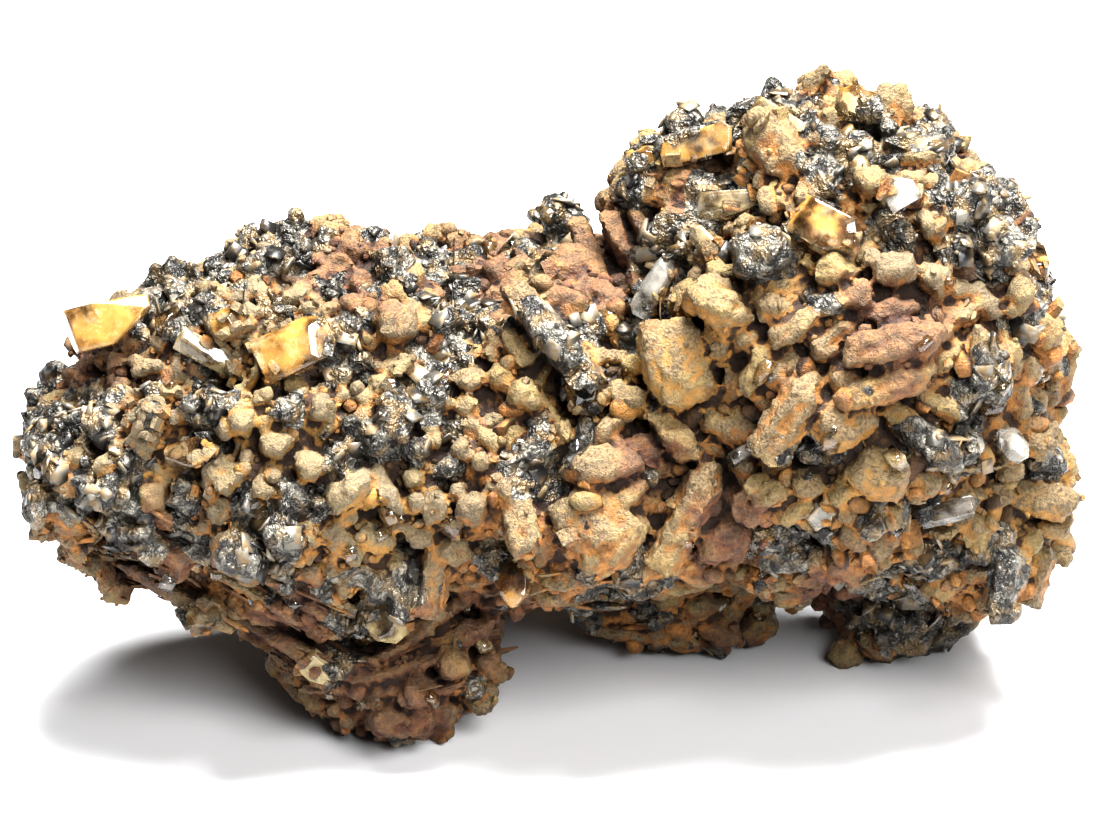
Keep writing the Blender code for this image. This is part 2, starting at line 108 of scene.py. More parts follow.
def front_place(tree, across, up):
    """The point of the stone that is seen at this place, in millimetres from the front's middle."""
    aim = FRONT_MIDDLE + (ACROSS * across + UP * up) * MM
    line = (aim - VIEWPOINT).normalized()
    point = tree.ray_cast(VIEWPOINT, line)[0]
    if point is None:
        point = tree.find_nearest(aim)[0]
    return point


def seen_at(points):
    """Where points are seen from the viewpoint: across and up, in millimetres."""
    rays = points - np.array(VIEWPOINT)
    scale = SIGHT_REACH / (rays @ np.array(SIGHT))
    return np.stack([rays @ np.array(ACROSS) * scale, rays @ np.array(UP) * scale], axis=1) / MM


def front_axes(turn, rise):
    """Long, wide and outward directions: turn is up from across, rise is towards the viewer."""
    angle, lift = math.radians(turn), math.radians(rise)
    flat = ACROSS * math.cos(angle) + UP * math.sin(angle)
    long = flat * math.cos(lift) - SIGHT * math.sin(lift)
    wide = (-SIGHT).cross(long).normalized()
    return long, wide, long.cross(wide)


def surface_axes(normal, turn):
    """The same three directions for something that lies on the surface."""
    side = Vector((0, 0, 1)).cross(normal)
    side = side.normalized() if side.length > 0.1 else Vector((1, 0, 0))
    long = side * math.cos(turn) + normal.cross(side) * math.sin(turn)
    return long, normal.cross(long), normal


def placed(point, axes, sizes):
    """The matrix that puts a shape of unit size at a point, along three axes, at these sizes."""
    return Matrix.Translation(point) @ Matrix(axes).transposed().to_4x4() @ Matrix.Diagonal((*sizes, 1))


# %% [markdown]
# ## The camera
#
# The camera stands at the viewpoint. A long lens keeps the stone's shape honest.

# %% Camera
PICTURE_WIDTH = 118.9 * MM
camera_data = bpy.data.cameras.new("camera")
camera_data.sensor_width = 36
camera_data.lens = 36 * SIGHT_REACH / PICTURE_WIDTH
camera_data.clip_start = 0.01
camera = bpy.data.objects.new("camera", camera_data)
scene.collection.objects.link(camera)
camera.location = VIEWPOINT
camera.rotation_mode = "QUATERNION"
camera.rotation_quaternion = SIGHT.to_track_quat("-Z", "Y")
scene.camera = camera
print("lens, mm:", round(camera_data.lens, 1))

# %% [markdown]
# ## One shape, many copies
#
# A surface like this has thousands of knobs. Each kind of shape is modelled once, with Blender's
# own tools, and read as two arrays, its points and its faces. Copies are then made with numpy,
# which moves a hundred thousand points in the time that one object takes to be duplicated.

# %% Reading and building meshes
Shape = namedtuple("Shape", "points faces")


def numbers_of(items, field, width=3, kind=np.float64):
    """One field of all the points, edges or faces of a mesh, as rows of numbers."""
    values = np.empty(len(items) * width, dtype=kind)
    items.foreach_get(field, values)
    return values.reshape(-1, width)


def arrays_of(mesh):
    """A mesh of triangles as arrays of points and faces."""
    mesh.calc_loop_triangles()
    faces = numbers_of(mesh.loop_triangles, "vertices", kind=np.int64)
    return Shape(numbers_of(mesh.vertices, "co"), faces)


def put_points(mesh, points):
    """Moves the points of a mesh to new places."""
    mesh.vertices.foreach_set("co", points.ravel())
    mesh.update()


def object_of(name, shape):
    """A new object in the scene from arrays of points and triangles."""
    mesh = bpy.data.meshes.new(name)
    mesh.vertices.add(len(shape.points))
    mesh.vertices.foreach_set("co", shape.points.ravel())
    mesh.loops.add(shape.faces.size)
    mesh.loops.foreach_set("vertex_index", shape.faces.ravel())
    mesh.polygons.add(len(shape.faces))
    mesh.polygons.foreach_set("loop_start", np.arange(0, shape.faces.size, 3))
    mesh.update(calc_edges=True)
    made = bpy.data.objects.new(name, mesh)
    scene.collection.objects.link(made)
    return made


def joined(shapes):
    """Several shapes as one."""
    starts = np.cumsum([0] + [len(s.points) for s in shapes[:-1]])
    faces = [s.faces + start for s, start in zip(shapes, starts)]
    return Shape(np.concatenate([s.points for s in shapes]), np.concatenate(faces))


def moved(shape, matrix):
    """A copy of a shape under a matrix."""
    m = np.array(matrix)
    return Shape(shape.points @ m[:3, :3].T + m[:3, 3], shape.faces)


def tree_of(shape):
    """A shape as a tree that finds where a line meets it, or its nearest point."""
    return BVHTree.FromPolygons(shape.points.tolist(), shape.faces.tolist())


def finder(points):
    """A tree that gives the index of the nearest of some points."""
    tree = KDTree(len(points))
    for index, point in enumerate(points):
        tree.insert(point, index)
    tree.balance()
    return tree


def nearest_in(tree, points):
    """For each point, the index of the nearest one in a tree."""
    return np.array([tree.find(point)[1] for point in points])


# %% Working on one object
MERGE = 1e-6


def only(obj):
    """Selects one object and makes it the active one, so that operators work on it alone."""
    bpy.ops.object.select_all(action="DESELECT")
    obj.select_set(True)
    bpy.context.view_layer.objects.active = obj


def apply_all(obj):
    only(obj)
    for modifier in list(obj.modifiers):
        bpy.ops.object.modifier_apply(modifier=modifier.name)


def open_mesh(obj):
    """Opens one object for editing, with its whole mesh selected."""
    only(obj)
    bpy.ops.object.mode_set(mode="EDIT")
    bpy.ops.mesh.select_all(action="SELECT")


def close_mesh():
    bpy.ops.object.mode_set(mode="OBJECT")


def cut_away(point, outward):
    """Cuts the open mesh at a plane, removes what is beyond it and closes the cut."""
    bpy.ops.mesh.select_all(action="SELECT")
    bpy.ops.mesh.bisect(plane_co=point, plane_no=outward, use_fill=True, clear_outer=True)


def taken_from(obj):
    """The triangles of an object as arrays. The object itself is thrown away."""
    open_mesh(obj)
    bpy.ops.mesh.quads_convert_to_tris()
    close_mesh()
    shape = arrays_of(obj.data)
    bpy.data.objects.remove(obj)
    return shape


# %% [markdown]
# ## Knobs, rods and crystals
#
# A knob is a ball that noise makes lumpy. The corners of a ball can be pushed out, which makes it
# a rounded block, and a block that is stretched is a rod. The coated crystals have flat sides, so
# they start as a six-sided cylinder, and six flat cuts give them their blunt point. Small knobs
# have few faces, because there are thousands of them.

# %% Knobs, rods and blocks
def knob_shape(subdivisions, squareness, lot):
    """A lumpy ball of about unit radius. Squareness below 1 pushes it out into a rounded block."""
    bpy.ops.object.select_all(action="DESELECT")
    bpy.ops.mesh.primitive_ico_sphere_add(subdivisions=subdivisions, radius=1)
    shape = taken_from(bpy.context.object)
    points = np.sign(shape.points) * np.abs(shape.points) ** squareness
    large = [noise_at(Vector(p) * 1.3 + Vector((lot, 0, 0))) * 0.24 for p in points]
    small = [noise_at(Vector(p) * 3.1) * 0.1 for p in points]
    return Shape(points * (1 + (np.array(large) + small))[:, None], shape.faces)


def knob_set(subdivisions, squarenesses):
    return [knob_shape(subdivisions, squareness, lot) for lot, squareness in enumerate(squarenesses)]


small_knobs = knob_set(1, (1, 0.85, 0.7, 0.9))
middling_knobs = knob_set(2, (1, 0.85, 0.7, 0.9))
big_knobs = knob_set(3, (1, 0.9, 0.8, 0.7, 0.6, 1, 0.8, 0.6))
growth_forms = {
    "knob": knob_shape(3, 1, 9),
    "rod": knob_shape(3, 0.8, 10),
    "block": knob_shape(3, 0.56, 11),
}


def prism_shape():
    """A six-sided crystal along X with a blunt point at +X, of unit half length and radius."""
    bpy.ops.object.select_all(action="DESELECT")
    bpy.ops.mesh.primitive_cylinder_add(vertices=6, radius=1, depth=2, rotation=(0, math.pi / 2, 0))
    obj = bpy.context.object
    bpy.ops.object.transform_apply(location=False, rotation=True, scale=False)
    sides = [face.normal.copy() for face in obj.data.polygons if abs(face.normal.x) < 0.5]
    open_mesh(obj)
    for number, side in enumerate(sides):
        slope = (side * 0.53 + Vector((0.85, 0, 0))).normalized()
        shoulder = Vector((0.55 + 0.07 * (number % 3), 0, 0)) + side * 0.866
        cut_away(shoulder, slope)
    close_mesh()
    return taken_from(obj)


prism = growth_forms["prism"] = prism_shape()
print("a knob:", len(small_knobs[0].faces), "triangles; a prism:", len(prism.faces))

# %% [markdown]
# ## Splinters
#
# The glossy black crust breaks into flat-sided splinters and plates. A few are modelled once, as
# blocks with their corners cut off. They are used large, under the skin, and small, on it.

# %% Splinter shapes
SPLINTERS = 8
BROKEN_CORNERS = 4


def splinter_shape(chance):
    """A block of unit half sizes with its corners broken off by flat cuts."""
    bpy.ops.object.select_all(action="DESELECT")
    bpy.ops.mesh.primitive_cube_add(size=2)
    obj = bpy.context.object
    open_mesh(obj)
    for _ in range(BROKEN_CORNERS):
        normal = Vector(chance.uniform(-1, 1, 3)).normalized()
        reach = sum(abs(c) for c in normal) * chance.uniform(0.5, 0.72)
        cut_away(normal * reach, normal)
    close_mesh()
    return taken_from(obj)


def one_of(shapes, chance):
    return shapes[chance.integers(len(shapes))]


chance = np.random.default_rng(SEED)
splinters = [splinter_shape(chance) for _ in range(SPLINTERS)]
print("splinters:", [len(s.faces) for s in splinters], "triangles")

# %% [markdown]
# ## Zones
#
# The stone isn't the same all over. The zones say where on its front the black crust, the rust and
# the ochre are, as circles with soft edges, and where the ore lies in long layers.

# %% Zones of the front
def rows_of(kind, *rows):
    """A table whose rows have named columns."""
    return [kind(*row) for row in rows]


Zone = namedtuple("Zone", "across up radius")
BLACK = rows_of(
    Zone,
    (-54, -2, 5), (-46, -9, 7), (-38, 2, 4), (-50, -2, 5), (-22, 6, 3.5),
    (-12, 4, 4), (-40.5, 13, 5), (-32, 17.5, 6), (-14.5, 15.5, 3.5),
    (-9.7, 9.7, 5), (-14, -0.8, 5), (-23.5, -4.4, 3), (-30, -12, 5), (-2, -4, 4),
    (4, 21, 4), (12.5, 29, 4.5), (25, 33, 4), (38, 27, 6), (47.5, 21, 6),
    (52, 11.5, 5), (47, 7, 4), (13, 16, 3.5), (27, -12, 4.5), (8, -18, 3.5),
    (43, -12, 5), (46, -3, 4), (38, -20, 5), (1.5, 6.5, 3), (-18.5, -21, 4),
)
RUST = rows_of(
    Zone,
    (-21.6, 15.5, 6), (5.5, 16.5, 7), (16, 24, 4), (19.5, -12.5, 5), (10, -5, 5),
    (-49, 3.5, 4.5), (-6, -23, 6), (-17, -30, 9), (-29, -23, 6), (37, 8, 7),
    (31, -20, 5), (-43, -16, 6), (21, -26, 4), (-8, 15, 6),
)
GREY = rows_of(Zone, (-42, -6, 15), (-20, -6, 12), (-30, 14, 8), (44, 18, 8))
OCHRE = rows_of(
    Zone,
    (23, 16, 6), (12, 5, 9), (32, -5, 7), (52, -10, 7), (-31, -2, 8),
    (-18, -12, 7), (-44, -8, 5),
)


def strength(zones, places):
    """How much a place belongs to the zones: 1 in the middle of one, fading out past its edge."""
    most = np.zeros(len(places))
    for zone in zones:
        distance = np.hypot(places[:, 0] - zone.across, places[:, 1] - zone.up)
        most = np.maximum(most, np.exp(-((distance / zone.radius) ** 2)))
    return most


print("zones:", len(BLACK) + len(RUST) + len(GREY) + len(OCHRE))

# %% Layers under the ledge
Layered = namedtuple("Layered", "across up radius turn")
LAYERED = rows_of(
    Layered,
    (-44, -15, 6, -24), (-36, -18, 6, -32), (-28, -22.5, 5.5, -28),
    (-13, -24, 6.5, 22), (-3, -21, 6, 10), (6, -21, 5, -4), (-20, -26, 4, -8),
)


def layer_turn(place):
    """The turn of the layers at a place, or None where there are none."""

    def distance(zone):
        """How far away a zone's middle is, as a share of its radius."""
        return math.hypot(place[0] - zone.across, place[1] - zone.up) / zone.radius

    near = min(LAYERED, key=distance)
    return near.turn if distance(near) < 1 else None


print("places with layers:", len(LAYERED))

# %% [markdown]
# ## The body under the skin
#
# The measured ore gives every large form: the two lobes, the ledge over the front foot, the
# hollows. Sculpting it anew would lose its sizes, so a copy of it is merged, remeshed into an even
# net, smoothed, and shrunk a little, so that the knobs that grow on it come out at its measured
# size and not beyond.

# %% Body
KNOB_ROOM = 1.8 * MM
BODY_GRAIN = 0.6 * MM


def add_net(obj, grain):
    """Remeshes an object as one even net of this grain."""
    net = obj.modifiers.new("Net", "REMESH")
    net.mode = "VOXEL"
    net.voxel_size = grain


body_mesh = nodes["limonite_matrix"].data.copy()
body = bpy.data.objects.new("body", body_mesh)
scene.collection.objects.link(body)
open_mesh(body)
bpy.ops.mesh.remove_doubles(threshold=MERGE)
close_mesh()
add_net(body, BODY_GRAIN)
ease = body.modifiers.new("Ease", "SMOOTH")
ease.iterations = 5
shrink = body.modifiers.new("Shrink", "DISPLACE")
shrink.strength = -KNOB_ROOM
shrink.mid_level = 0
apply_all(body)
body_shape = arrays_of(body.data)
body_tree = tree_of(body_shape)
print("body:", len(body_shape.faces), "triangles")

# %% [markdown]
# ## What grows on the front
#
# The most striking growths are placed one by one: coated prisms, rods, blocks and knobs. Chance
# could set them as it sets the rest, but it is these that make the stone look like itself. Each
# has its place, length, width, turn, rise towards the viewer, and how far it stands out.

# %% Growths by name
Growth = namedtuple("Growth", "name across up length width turn rise proud form")
GROWTHS = rows_of(
    Growth,
    ("big block", 13.8, 5.1, 9.6, 7.0, -68, 8, 3.6, "block"),
    ("upper prism", 26.2, -0.3, 10, 4.8, 58, 14, 3.0, "prism"),
    ("long prism", 14.9, -10.8, 12.5, 4.4, 62, 12, 3.2, "prism"),
    ("coated pyramid", 5.4, -13.2, 9.6, 7.6, -36, 6, 3.6, "block"),
    ("upper roll", 37.3, 7.3, 10, 4.6, 10, 5, 3.0, "rod"),
    ("lower roll", 36.8, 3.0, 9.4, 3.8, 20, 5, 2.8, "rod"),
    ("third roll", 36.2, 10.8, 6.4, 3.0, 4, 5, 2.0, "rod"),
    ("ochre rod", 40.2, -2.6, 10.5, 4.0, -40, 6, 2.2, "prism"),
    ("nodule", 2.7, 14.6, 7.6, 7.0, 0, 0, 2.8, "knob"),
    ("rust column a", 4.6, 18.6, 7.5, 2.6, -60, 0, 2.0, "rod"),
    ("rust column b", 7.8, 18.2, 7.5, 2.6, -62, 0, 2.2, "rod"),
    ("rust column c", 10.2, 19.6, 5.4, 2.2, -66, 0, 2.0, "rod"),
    ("diagonal finger", 0.3, 8.2, 13.5, 3.8, -50, 14, 3.2, "rod"),
    ("yellow knob", -16.8, 9.6, 5.0, 4.8, 0, 0, 3.0, "knob"),
    ("upper knob", 18.6, 11.1, 6.4, 4.4, -40, 20, 3.6, "rod"),
    ("crown block", 22.7, 17.2, 5.8, 5.0, 20, 0, 3.0, "block"),
    ("right boulder", 31.6, -2.0, 7.2, 5.6, 20, 0, 3.2, "knob"),
    ("short rod", 13.6, -2.6, 6.8, 3.4, -50, 10, 2.8, "rod"),
    ("left prism a", -12.4, -16.8, 9.4, 3.8, 80, 10, 3.4, "prism"),
    ("left prism b", -16.2, -18.0, 7.6, 3.0, 96, 10, 2.6, "prism"),
    ("left boulder", -33.6, -15.6, 6.6, 5.2, -30, 0, 2.8, "knob"),
    ("middle block", 18.6, -12.8, 6.6, 5.8, 32, 0, 3.0, "block"),
    ("middle mound", 5.6, -5.8, 8.8, 4.6, 10, 0, 2.4, "knob"),
    ("low rod", 9.8, -16.4, 6.2, 4.2, 20, 0, 2.4, "rod"),
    ("right block", 35.5, -7.2, 6.2, 5.4, -20, 0, 2.8, "block"),
    ("right end knob", 53.0, -5.4, 5.6, 4.0, 0, 0, 2.0, "knob"),
    ("right end roll", 53.2, -9.4, 7.2, 4.2, -10, 0, 2.0, "rod"),
    ("right column a", 49.0, -17.6, 7.6, 3.8, 80, 0, 2.4, "prism"),
    ("right column b", 52.4, -17.2, 7.2, 3.6, 72, 0, 2.2, "prism"),
    ("brown knob a", -14.3, -30.0, 4.2, 4.0, 0, 0, 2.6, "knob"),
    ("brown knob b", -10.6, -27.0, 4.0, 3.8, 0, 0, 2.4, "knob"),
    ("brown knob c", -17.4, -33.0, 4.6, 4.0, 0, 0, 2.2, "knob"),
    ("lip roll a", -10.4, -24.4, 9.5, 3.0, 22, 0, 2.2, "rod"),
    ("lip roll b", -3.0, -21.6, 9.0, 2.8, 8, 0, 2.2, "rod"),
    ("lip roll c", -13.5, -22.6, 8.0, 2.4, 24, 0, 2.0, "rod"),
    ("lip roll d", 4.0, -20.2, 8.0, 2.6, -4, 0, 1.8, "rod"),
    ("lip roll e", -32.5, -22.4, 9.0, 2.2, -36, 0, 1.8, "rod"),
    ("lip roll f", -26.0, -26.4, 9.0, 2.2, -30, 0, 1.8, "rod"),
    ("yellow stub", -21.4, -8.4, 5.2, 3.2, 40, 6, 2.4, "rod"),
    ("grey stub", -17.8, -8.6, 5.6, 2.6, -58, 6, 2.4, "rod"),
    ("left knob a", -25.8, -5.8, 4.4, 3.4, 10, 0, 2.2, "knob"),
    ("left knob b", -29.6, -3.4, 3.8, 3.2, 30, 0, 2.2, "knob"),
    ("left knob c", -24.6, 0.4, 3.6, 3.0, -20, 0, 2.0, "knob"),
    ("left knob d", -33.2, -1.0, 3.4, 2.8, 60, 0, 2.0, "knob"),
    ("left knob e", -27.6, 2.8, 3.2, 2.6, 0, 0, 1.8, "knob"),
    ("waist knob a", -3.4, 19.0, 3.6, 3.2, 0, 0, 2.0, "knob"),
    ("waist knob b", -5.8, 8.0, 3.2, 3.0, 0, 0, 2.0, "knob"),
    ("waist knob c", -8.6, 3.4, 3.6, 3.0, 40, 0, 2.0, "knob"),
    ("waist knob d", -2.8, 1.8, 4.0, 3.2, -30, 0, 2.2, "knob"),
    ("finger a", 4.8, 3.4, 5.0, 2.8, -20, 20, 2.4, "rod"),
    ("finger b", 9.2, 1.2, 5.2, 3.0, -28, 16, 2.8, "rod"),
    ("finger c", 8.2, -9.0, 5.0, 3.2, 46, 0, 2.4, "knob"),
    ("finger d", 17.2, -3.8, 3.6, 3.0, 0, 10, 2.2, "knob"),
    ("finger e", 21.4, -5.4, 4.2, 3.6, 12, 0, 2.6, "knob"),
    ("finger f", 22.6, 5.2, 6.4, 2.8, 62, 6, 2.0, "rod"),
    ("finger g", 26.8, 9.2, 6.2, 3.2, 28, 6, 2.4, "rod"),
    ("finger h", 30.8, 11.8, 5.8, 3.0, 12, 6, 2.2, "rod"),
    ("finger i", 21.0, 8.2, 3.4, 3.2, 0, 0, 2.4, "knob"),
    ("finger j", 29.4, 7.0, 3.8, 3.4, 0, 0, 2.4, "knob"),
    ("finger k", 27.6, -7.8, 4.6, 3.4, 0, 0, 2.2, "knob"),
    ("finger l", 41.8, 1.0, 6.4, 2.6, -30, 6, 1.8, "rod"),
    ("crest knob a", 34.4, 25.0, 3.6, 3.2, 30, 0, 2.2, "knob"),
    ("crest knob b", 41.2, 26.8, 3.8, 3.0, -40, 0, 2.2, "block"),
    ("crest knob c", 29.6, 29.4, 4.4, 3.2, -20, 0, 2.0, "block"),
    ("crest knob d", 14.4, 31.2, 3.8, 3.2, 40, 0, 2.0, "block"),
    ("right grey cube", 37.0, 15.4, 4.6, 3.6, 10, 0, 2.6, "block"),
    ("right stub a", 46.6, 11.8, 4.4, 3.2, -50, 0, 2.0, "rod"),
    ("right stub b", 50.6, 4.0, 4.8, 3.2, 30, 0, 2.2, "block"),
    ("end stub", -55.6, -3.8, 4.0, 3.2, 20, 0, 1.4, "knob"),
)


BOX_ROOM = 0.4 * MM
ROOT_DEPTH = 4


def kept_inside(shape):
    """The shape, moved in where it would stick out of the measured box."""
    low, high = np.array(cad_box) + ((-BOX_ROOM, -BOX_ROOM, 0), (BOX_ROOM,) * 3)
    out = np.maximum(shape.points.max(axis=0) - high, 0) + np.minimum(shape.points.min(axis=0) - low, 0)
    return Shape(shape.points - out, shape.faces)


def grown(place):
    """One named growth, half sunk where its sight line meets the body."""
    point = front_place(body_tree, place.across, place.up)
    axes = front_axes(place.turn, place.rise)
    thick = place.proud + ROOT_DEPTH
    centre = point + axes[2] * (place.proud + KNOB_ROOM / MM * 0.75 - thick / 2) * MM
    sizes = [s * MM / 2 for s in (place.length, place.width, thick)]
    return moved(growth_forms[place.form], placed(centre, axes, sizes))


growths = [kept_inside(grown(place)) for place in GROWTHS]
growth_tree = tree_of(joined(growths))
print("growths placed by name:", len(growths))

# %% [markdown]
# ## Knobs everywhere
#
# The rest of the surface is covered by knobs, from under two to about five millimetres across.
# They could be scattered by a particle system, but here their packing matters. Points are spread
# over the body by area, and a point is dropped if it is closer to a kept one than their sizes
# allow, which gives the even, crowded packing of things that grew side by side.

# %% Spreading points
def spread(shape, count, chance):
    """Points and outward normals spread over a shape by area."""
    a, b, c = (shape.points[shape.faces[:, i]] for i in range(3))
    cross = np.cross(b - a, c - a)
    area = np.linalg.norm(cross, axis=1)
    pick = chance.choice(len(area), size=count, p=area / area.sum())
    u, v = chance.random((2, count, 1))
    over = u + v > 1
    u, v = np.where(over, 1 - u, u), np.where(over, 1 - v, v)
    points = a[pick] + (b - a)[pick] * u + (c - a)[pick] * v
    return points, cross[pick] / area[pick][:, None]


def apart(points, radii, closeness):
    """Which points to keep so that no two are closer than their radii allow."""
    tree = finder(points)
    dropped = np.zeros(len(points), dtype=bool)
    kept = []
    reach = radii.max() * 2 * closeness
    for index, point in enumerate(points):
        if dropped[index]:
            continue
        kept.append(index)
        for _, other, distance in tree.find_range(point, reach):
            if other > index and distance < closeness * (radii[index] + radii[other]):
                dropped[other] = True
    return np.array(kept)


# %% [markdown]
# ## What has to stay open
#
# Knobs must not bury the quartz. Nor may they close the dark slots under the ledge and under the
# crowned growths, which are as much a part of the stone as its knobs. Both could be cut free
# afterwards, but it is simpler never to set a knob there, so each place is tested first.

# %% Quartz that has to stay clear
quartz_nodes = {name: obj for name, obj in nodes.items() if name != "limonite_matrix"}
quartz_shape = joined([arrays_of(obj.data) for obj in quartz_nodes.values()])
quartz_tree = tree_of(quartz_shape)


def clear_of_quartz(point, room):
    return quartz_tree.find_nearest(point)[3] > room


print("quartz solids:", len(quartz_nodes))

# %% Slots and hollows that stay open
Hollow = namedtuple("Hollow", "across up length height turn")
HOLLOWS = rows_of(
    Hollow,
    (-45, -16.5, 17, 4.4, -22), (-26, -24, 22, 4.2, -14), (-4, -20.5, 16, 3.4, 8),
    (-49, 4.2, 8, 6, 0), (30.5, 17.2, 9, 3.4, -14), (5.6, -0.6, 9, 4.2, 5),
    (24.6, 9.0, 6, 3, -10), (22.8, 0.8, 4, 4, 0), (40, 0.8, 10, 3.6, 12),
    (40, -13.6, 13, 3, 8), (31, -20, 9, 7, 20), (-36, -17.2, 8, 4.4, -25),
    (19.0, -15.4, 8, 2.6, 20), (9.5, -8.6, 3.5, 5, 60), (-7.5, -12.5, 3, 5, 80),
    (26.5, -4.6, 4, 4, 0), (-27, 14.4, 4, 3, 0), (47.6, -6.6, 3, 5, 80),
)


def in_a_hollow(points):
    """Whether each point is seen inside one of the hollows."""
    places = seen_at(points)
    inside = np.zeros(len(points), dtype=bool)
    for pit in HOLLOWS:
        turn = math.radians(pit.turn)
        away = places - (pit.across, pit.up)
        along = away @ (math.cos(turn), math.sin(turn))
        over = away @ (-math.sin(turn), math.cos(turn))
        inside |= (2 * along / pit.length) ** 2 + (2 * over / pit.height) ** 2 < 1
    return inside


print("hollows:", len(HOLLOWS))

# %% [markdown]
# ## Setting the knobs
#
# A knob leans a little, is stretched a little, and sits with its foot sunk in the body. Towards
# the stone's right the knobs are larger and longer. In the black zones some are splinters. Under
# the ledge the ore lies in layers, so there the knobs are drawn out into long ones that all lie
# the same way. A few rules and seeded draws give the same crowd each time.

# %% Setting the knobs
Knob = namedtuple("Knob", "shape foot outward radius")
HALF_LENGTH = 58 * MM
LARGER_TO_THE_RIGHT = 0.3
SPLINTER_SHARE = 0.45
STRETCHES = ((1.0, 1.0, 1.1, 1.3, 1.7), (1.0, 1.2, 1.5, 1.9, 2.3))
LARGE_RADII = (0.8, 2.1)
LARGE_TRIES = 16000


def leaning_axes(normal, most, chance):
    """Axes for something on the surface that leans by up to this much and is turned any way."""
    lean = Vector(chance.uniform(-most, most, 3))
    return surface_axes((normal + lean).normalized(), chance.uniform(0, math.pi))


def knob_layer(forms, ground, sizes, tries, closeness, lift, room, chance, wanted):
    """Knobs between two radii on the ground, each lifted off it by a share of its radius."""
    points, normals = spread(ground, tries, chance)
    keep = wanted(points)
    points, normals = points[keep], normals[keep]
    rightward = points[:, 0] / HALF_LENGTH
    seen = seen_at(points)
    crusted = strength(BLACK, seen)
    radii = chance.uniform(*sizes, len(points)) * MM * (1 + LARGER_TO_THE_RIGHT * rightward)
    layer = []
    for index in apart(points, radii, closeness):
        radius = radii[index]
        point, normal = Vector(points[index]), Vector(normals[index])
        outside = point + normal * room
        if not clear_of_quartz(outside, radius * 0.9):
            continue
        if room and growth_tree.find_nearest(outside)[3] < 0.5 * radius:
            continue
        axes = leaning_axes(normal, 0.6, chance)
        stretch = chance.choice(STRETCHES[int(rightward[index] > -0.1)])
        shape_sizes = (radius * stretch, radius, radius * chance.uniform(0.9, 1.4))
        form, turn = one_of(forms, chance), layer_turn(seen[index])
        if chance.random() < crusted[index] * SPLINTER_SHARE:
            form = one_of(splinters, chance)
            shape_sizes = (radius * stretch * 1.1, radius * 1.1, radius * 0.6)
        elif turn is not None and normal.dot(SIGHT) < -0.2:
            axes = front_axes(turn + chance.uniform(-9, 9), chance.uniform(-8, 8))
            shape_sizes = (radius * chance.uniform(2.6, 5.0), radius * 0.5, radius * 0.9)
        rise = min(radius * lift, room + 0.5 * MM - radius * 0.9) if room else radius * lift
        shape = kept_inside(moved(form, placed(point + normal * rise, axes, shape_sizes)))
        layer.append(Knob(shape, points[index], normals[index], radius))
    return layer


def open_ground(points):
    return ~in_a_hollow(points)


large_knobs = knob_layer(
    big_knobs, body_shape, LARGE_RADII, LARGE_TRIES, 0.8, 0.75, KNOB_ROOM, chance, open_ground
)
print("large knobs:", len(large_knobs))

# %% [markdown]
# ## One skin
#
# Knobs that are only pushed into each other have hard lines where they meet. A voxel remesh makes
# one skin of the body, the growths and the large knobs. Two fine displacements then break up what
# is too smooth. A remesh rounds everything off a little, so the skin is sharpened again, as a
# photograph is: it is compared with a smoothed copy of itself, and the difference is added.

# %% Measuring relief
def smoothed(points, edges, rounds):
    """The points moved towards the middle of their neighbours, again and again."""
    a, b = edges.T
    count = np.bincount(edges.ravel(), minlength=len(points))
    for _ in range(rounds):
        total = [
            np.bincount(a, points[b, axis], len(points)) + np.bincount(b, points[a, axis], len(points))
            for axis in range(3)
        ]
        points = (points + np.stack(total, axis=1) / count[:, None]) / 2
    return points


def normals_of(mesh):
    return numbers_of(mesh.vertex_normals, "vector")


def edges_of(mesh):
    return numbers_of(mesh.edges, "vertices", 2, np.int64)


def relief_of(mesh, rounds):
    """How far each point stands above its smoothed place, in millimetres."""
    points = arrays_of(mesh).points
    away = points - smoothed(points, edges_of(mesh), rounds)
    return (away * normals_of(mesh)).sum(axis=1) / MM


# %% Skin
SKIN_GRAIN = 0.44 * MM
# The size and the depth of each roughness, in millimetres.
ROUGHNESS = (("lumps", 1.6, 0.40), ("grit", 0.75, 0.26))
CRISPNESS = 1.4
FINE_ROUNDS, MIDDLING_ROUNDS, BROAD_ROUNDS = 6, 30, 120

grown_shapes = [*growths, *[knob.shape for knob in large_knobs]]
skin = object_of("skin", joined([body_shape, *grown_shapes]))
add_net(skin, SKIN_GRAIN)
for name, grain, depth in ROUGHNESS:
    clouds = bpy.data.textures.new(name, "CLOUDS")
    clouds.noise_scale = grain * MM
    rough = skin.modifiers.new(name, "DISPLACE")
    rough.texture = clouds
    rough.texture_coords = "LOCAL"
    rough.strength = depth * MM
    rough.mid_level = 0.55
apply_all(skin)
sharpening = np.clip(relief_of(skin.data, FINE_ROUNDS) * CRISPNESS, -0.5, 0.3)[:, None] * MM
put_points(skin.data, arrays_of(skin.data).points + normals_of(skin.data) * sharpening)
skin_shape = arrays_of(skin.data)
print("skin:", len(skin_shape.faces), "triangles")

# %% [markdown]
# ## What the paint will need to know
#
# Dust gathers in creases and wear shows on what stands out, and painted shade darkens the creases
# and hollows. A shader can't see any of these, so they are measured here and stored as a number on
# each point. The skin is smoothed in numbers alone, a little, more and a lot, and how far a point
# stands above its smoothed place is its relief.

# %% Relief
skin_points = skin_shape.points
skin_edges = edges_of(skin.data)
fine = relief_of(skin.data, FINE_ROUNDS)
middling = relief_of(skin.data, MIDDLING_ROUNDS)
broad = relief_of(skin.data, BROAD_ROUNDS)
upward = smoothed(normals_of(skin.data), skin_edges, 3)[:, 2]
for name, relief in (("fine", fine), ("middling", middling), ("broad", broad)):
    print(name, "relief, mm:", np.percentile(relief, (5, 50, 95)).round(3))

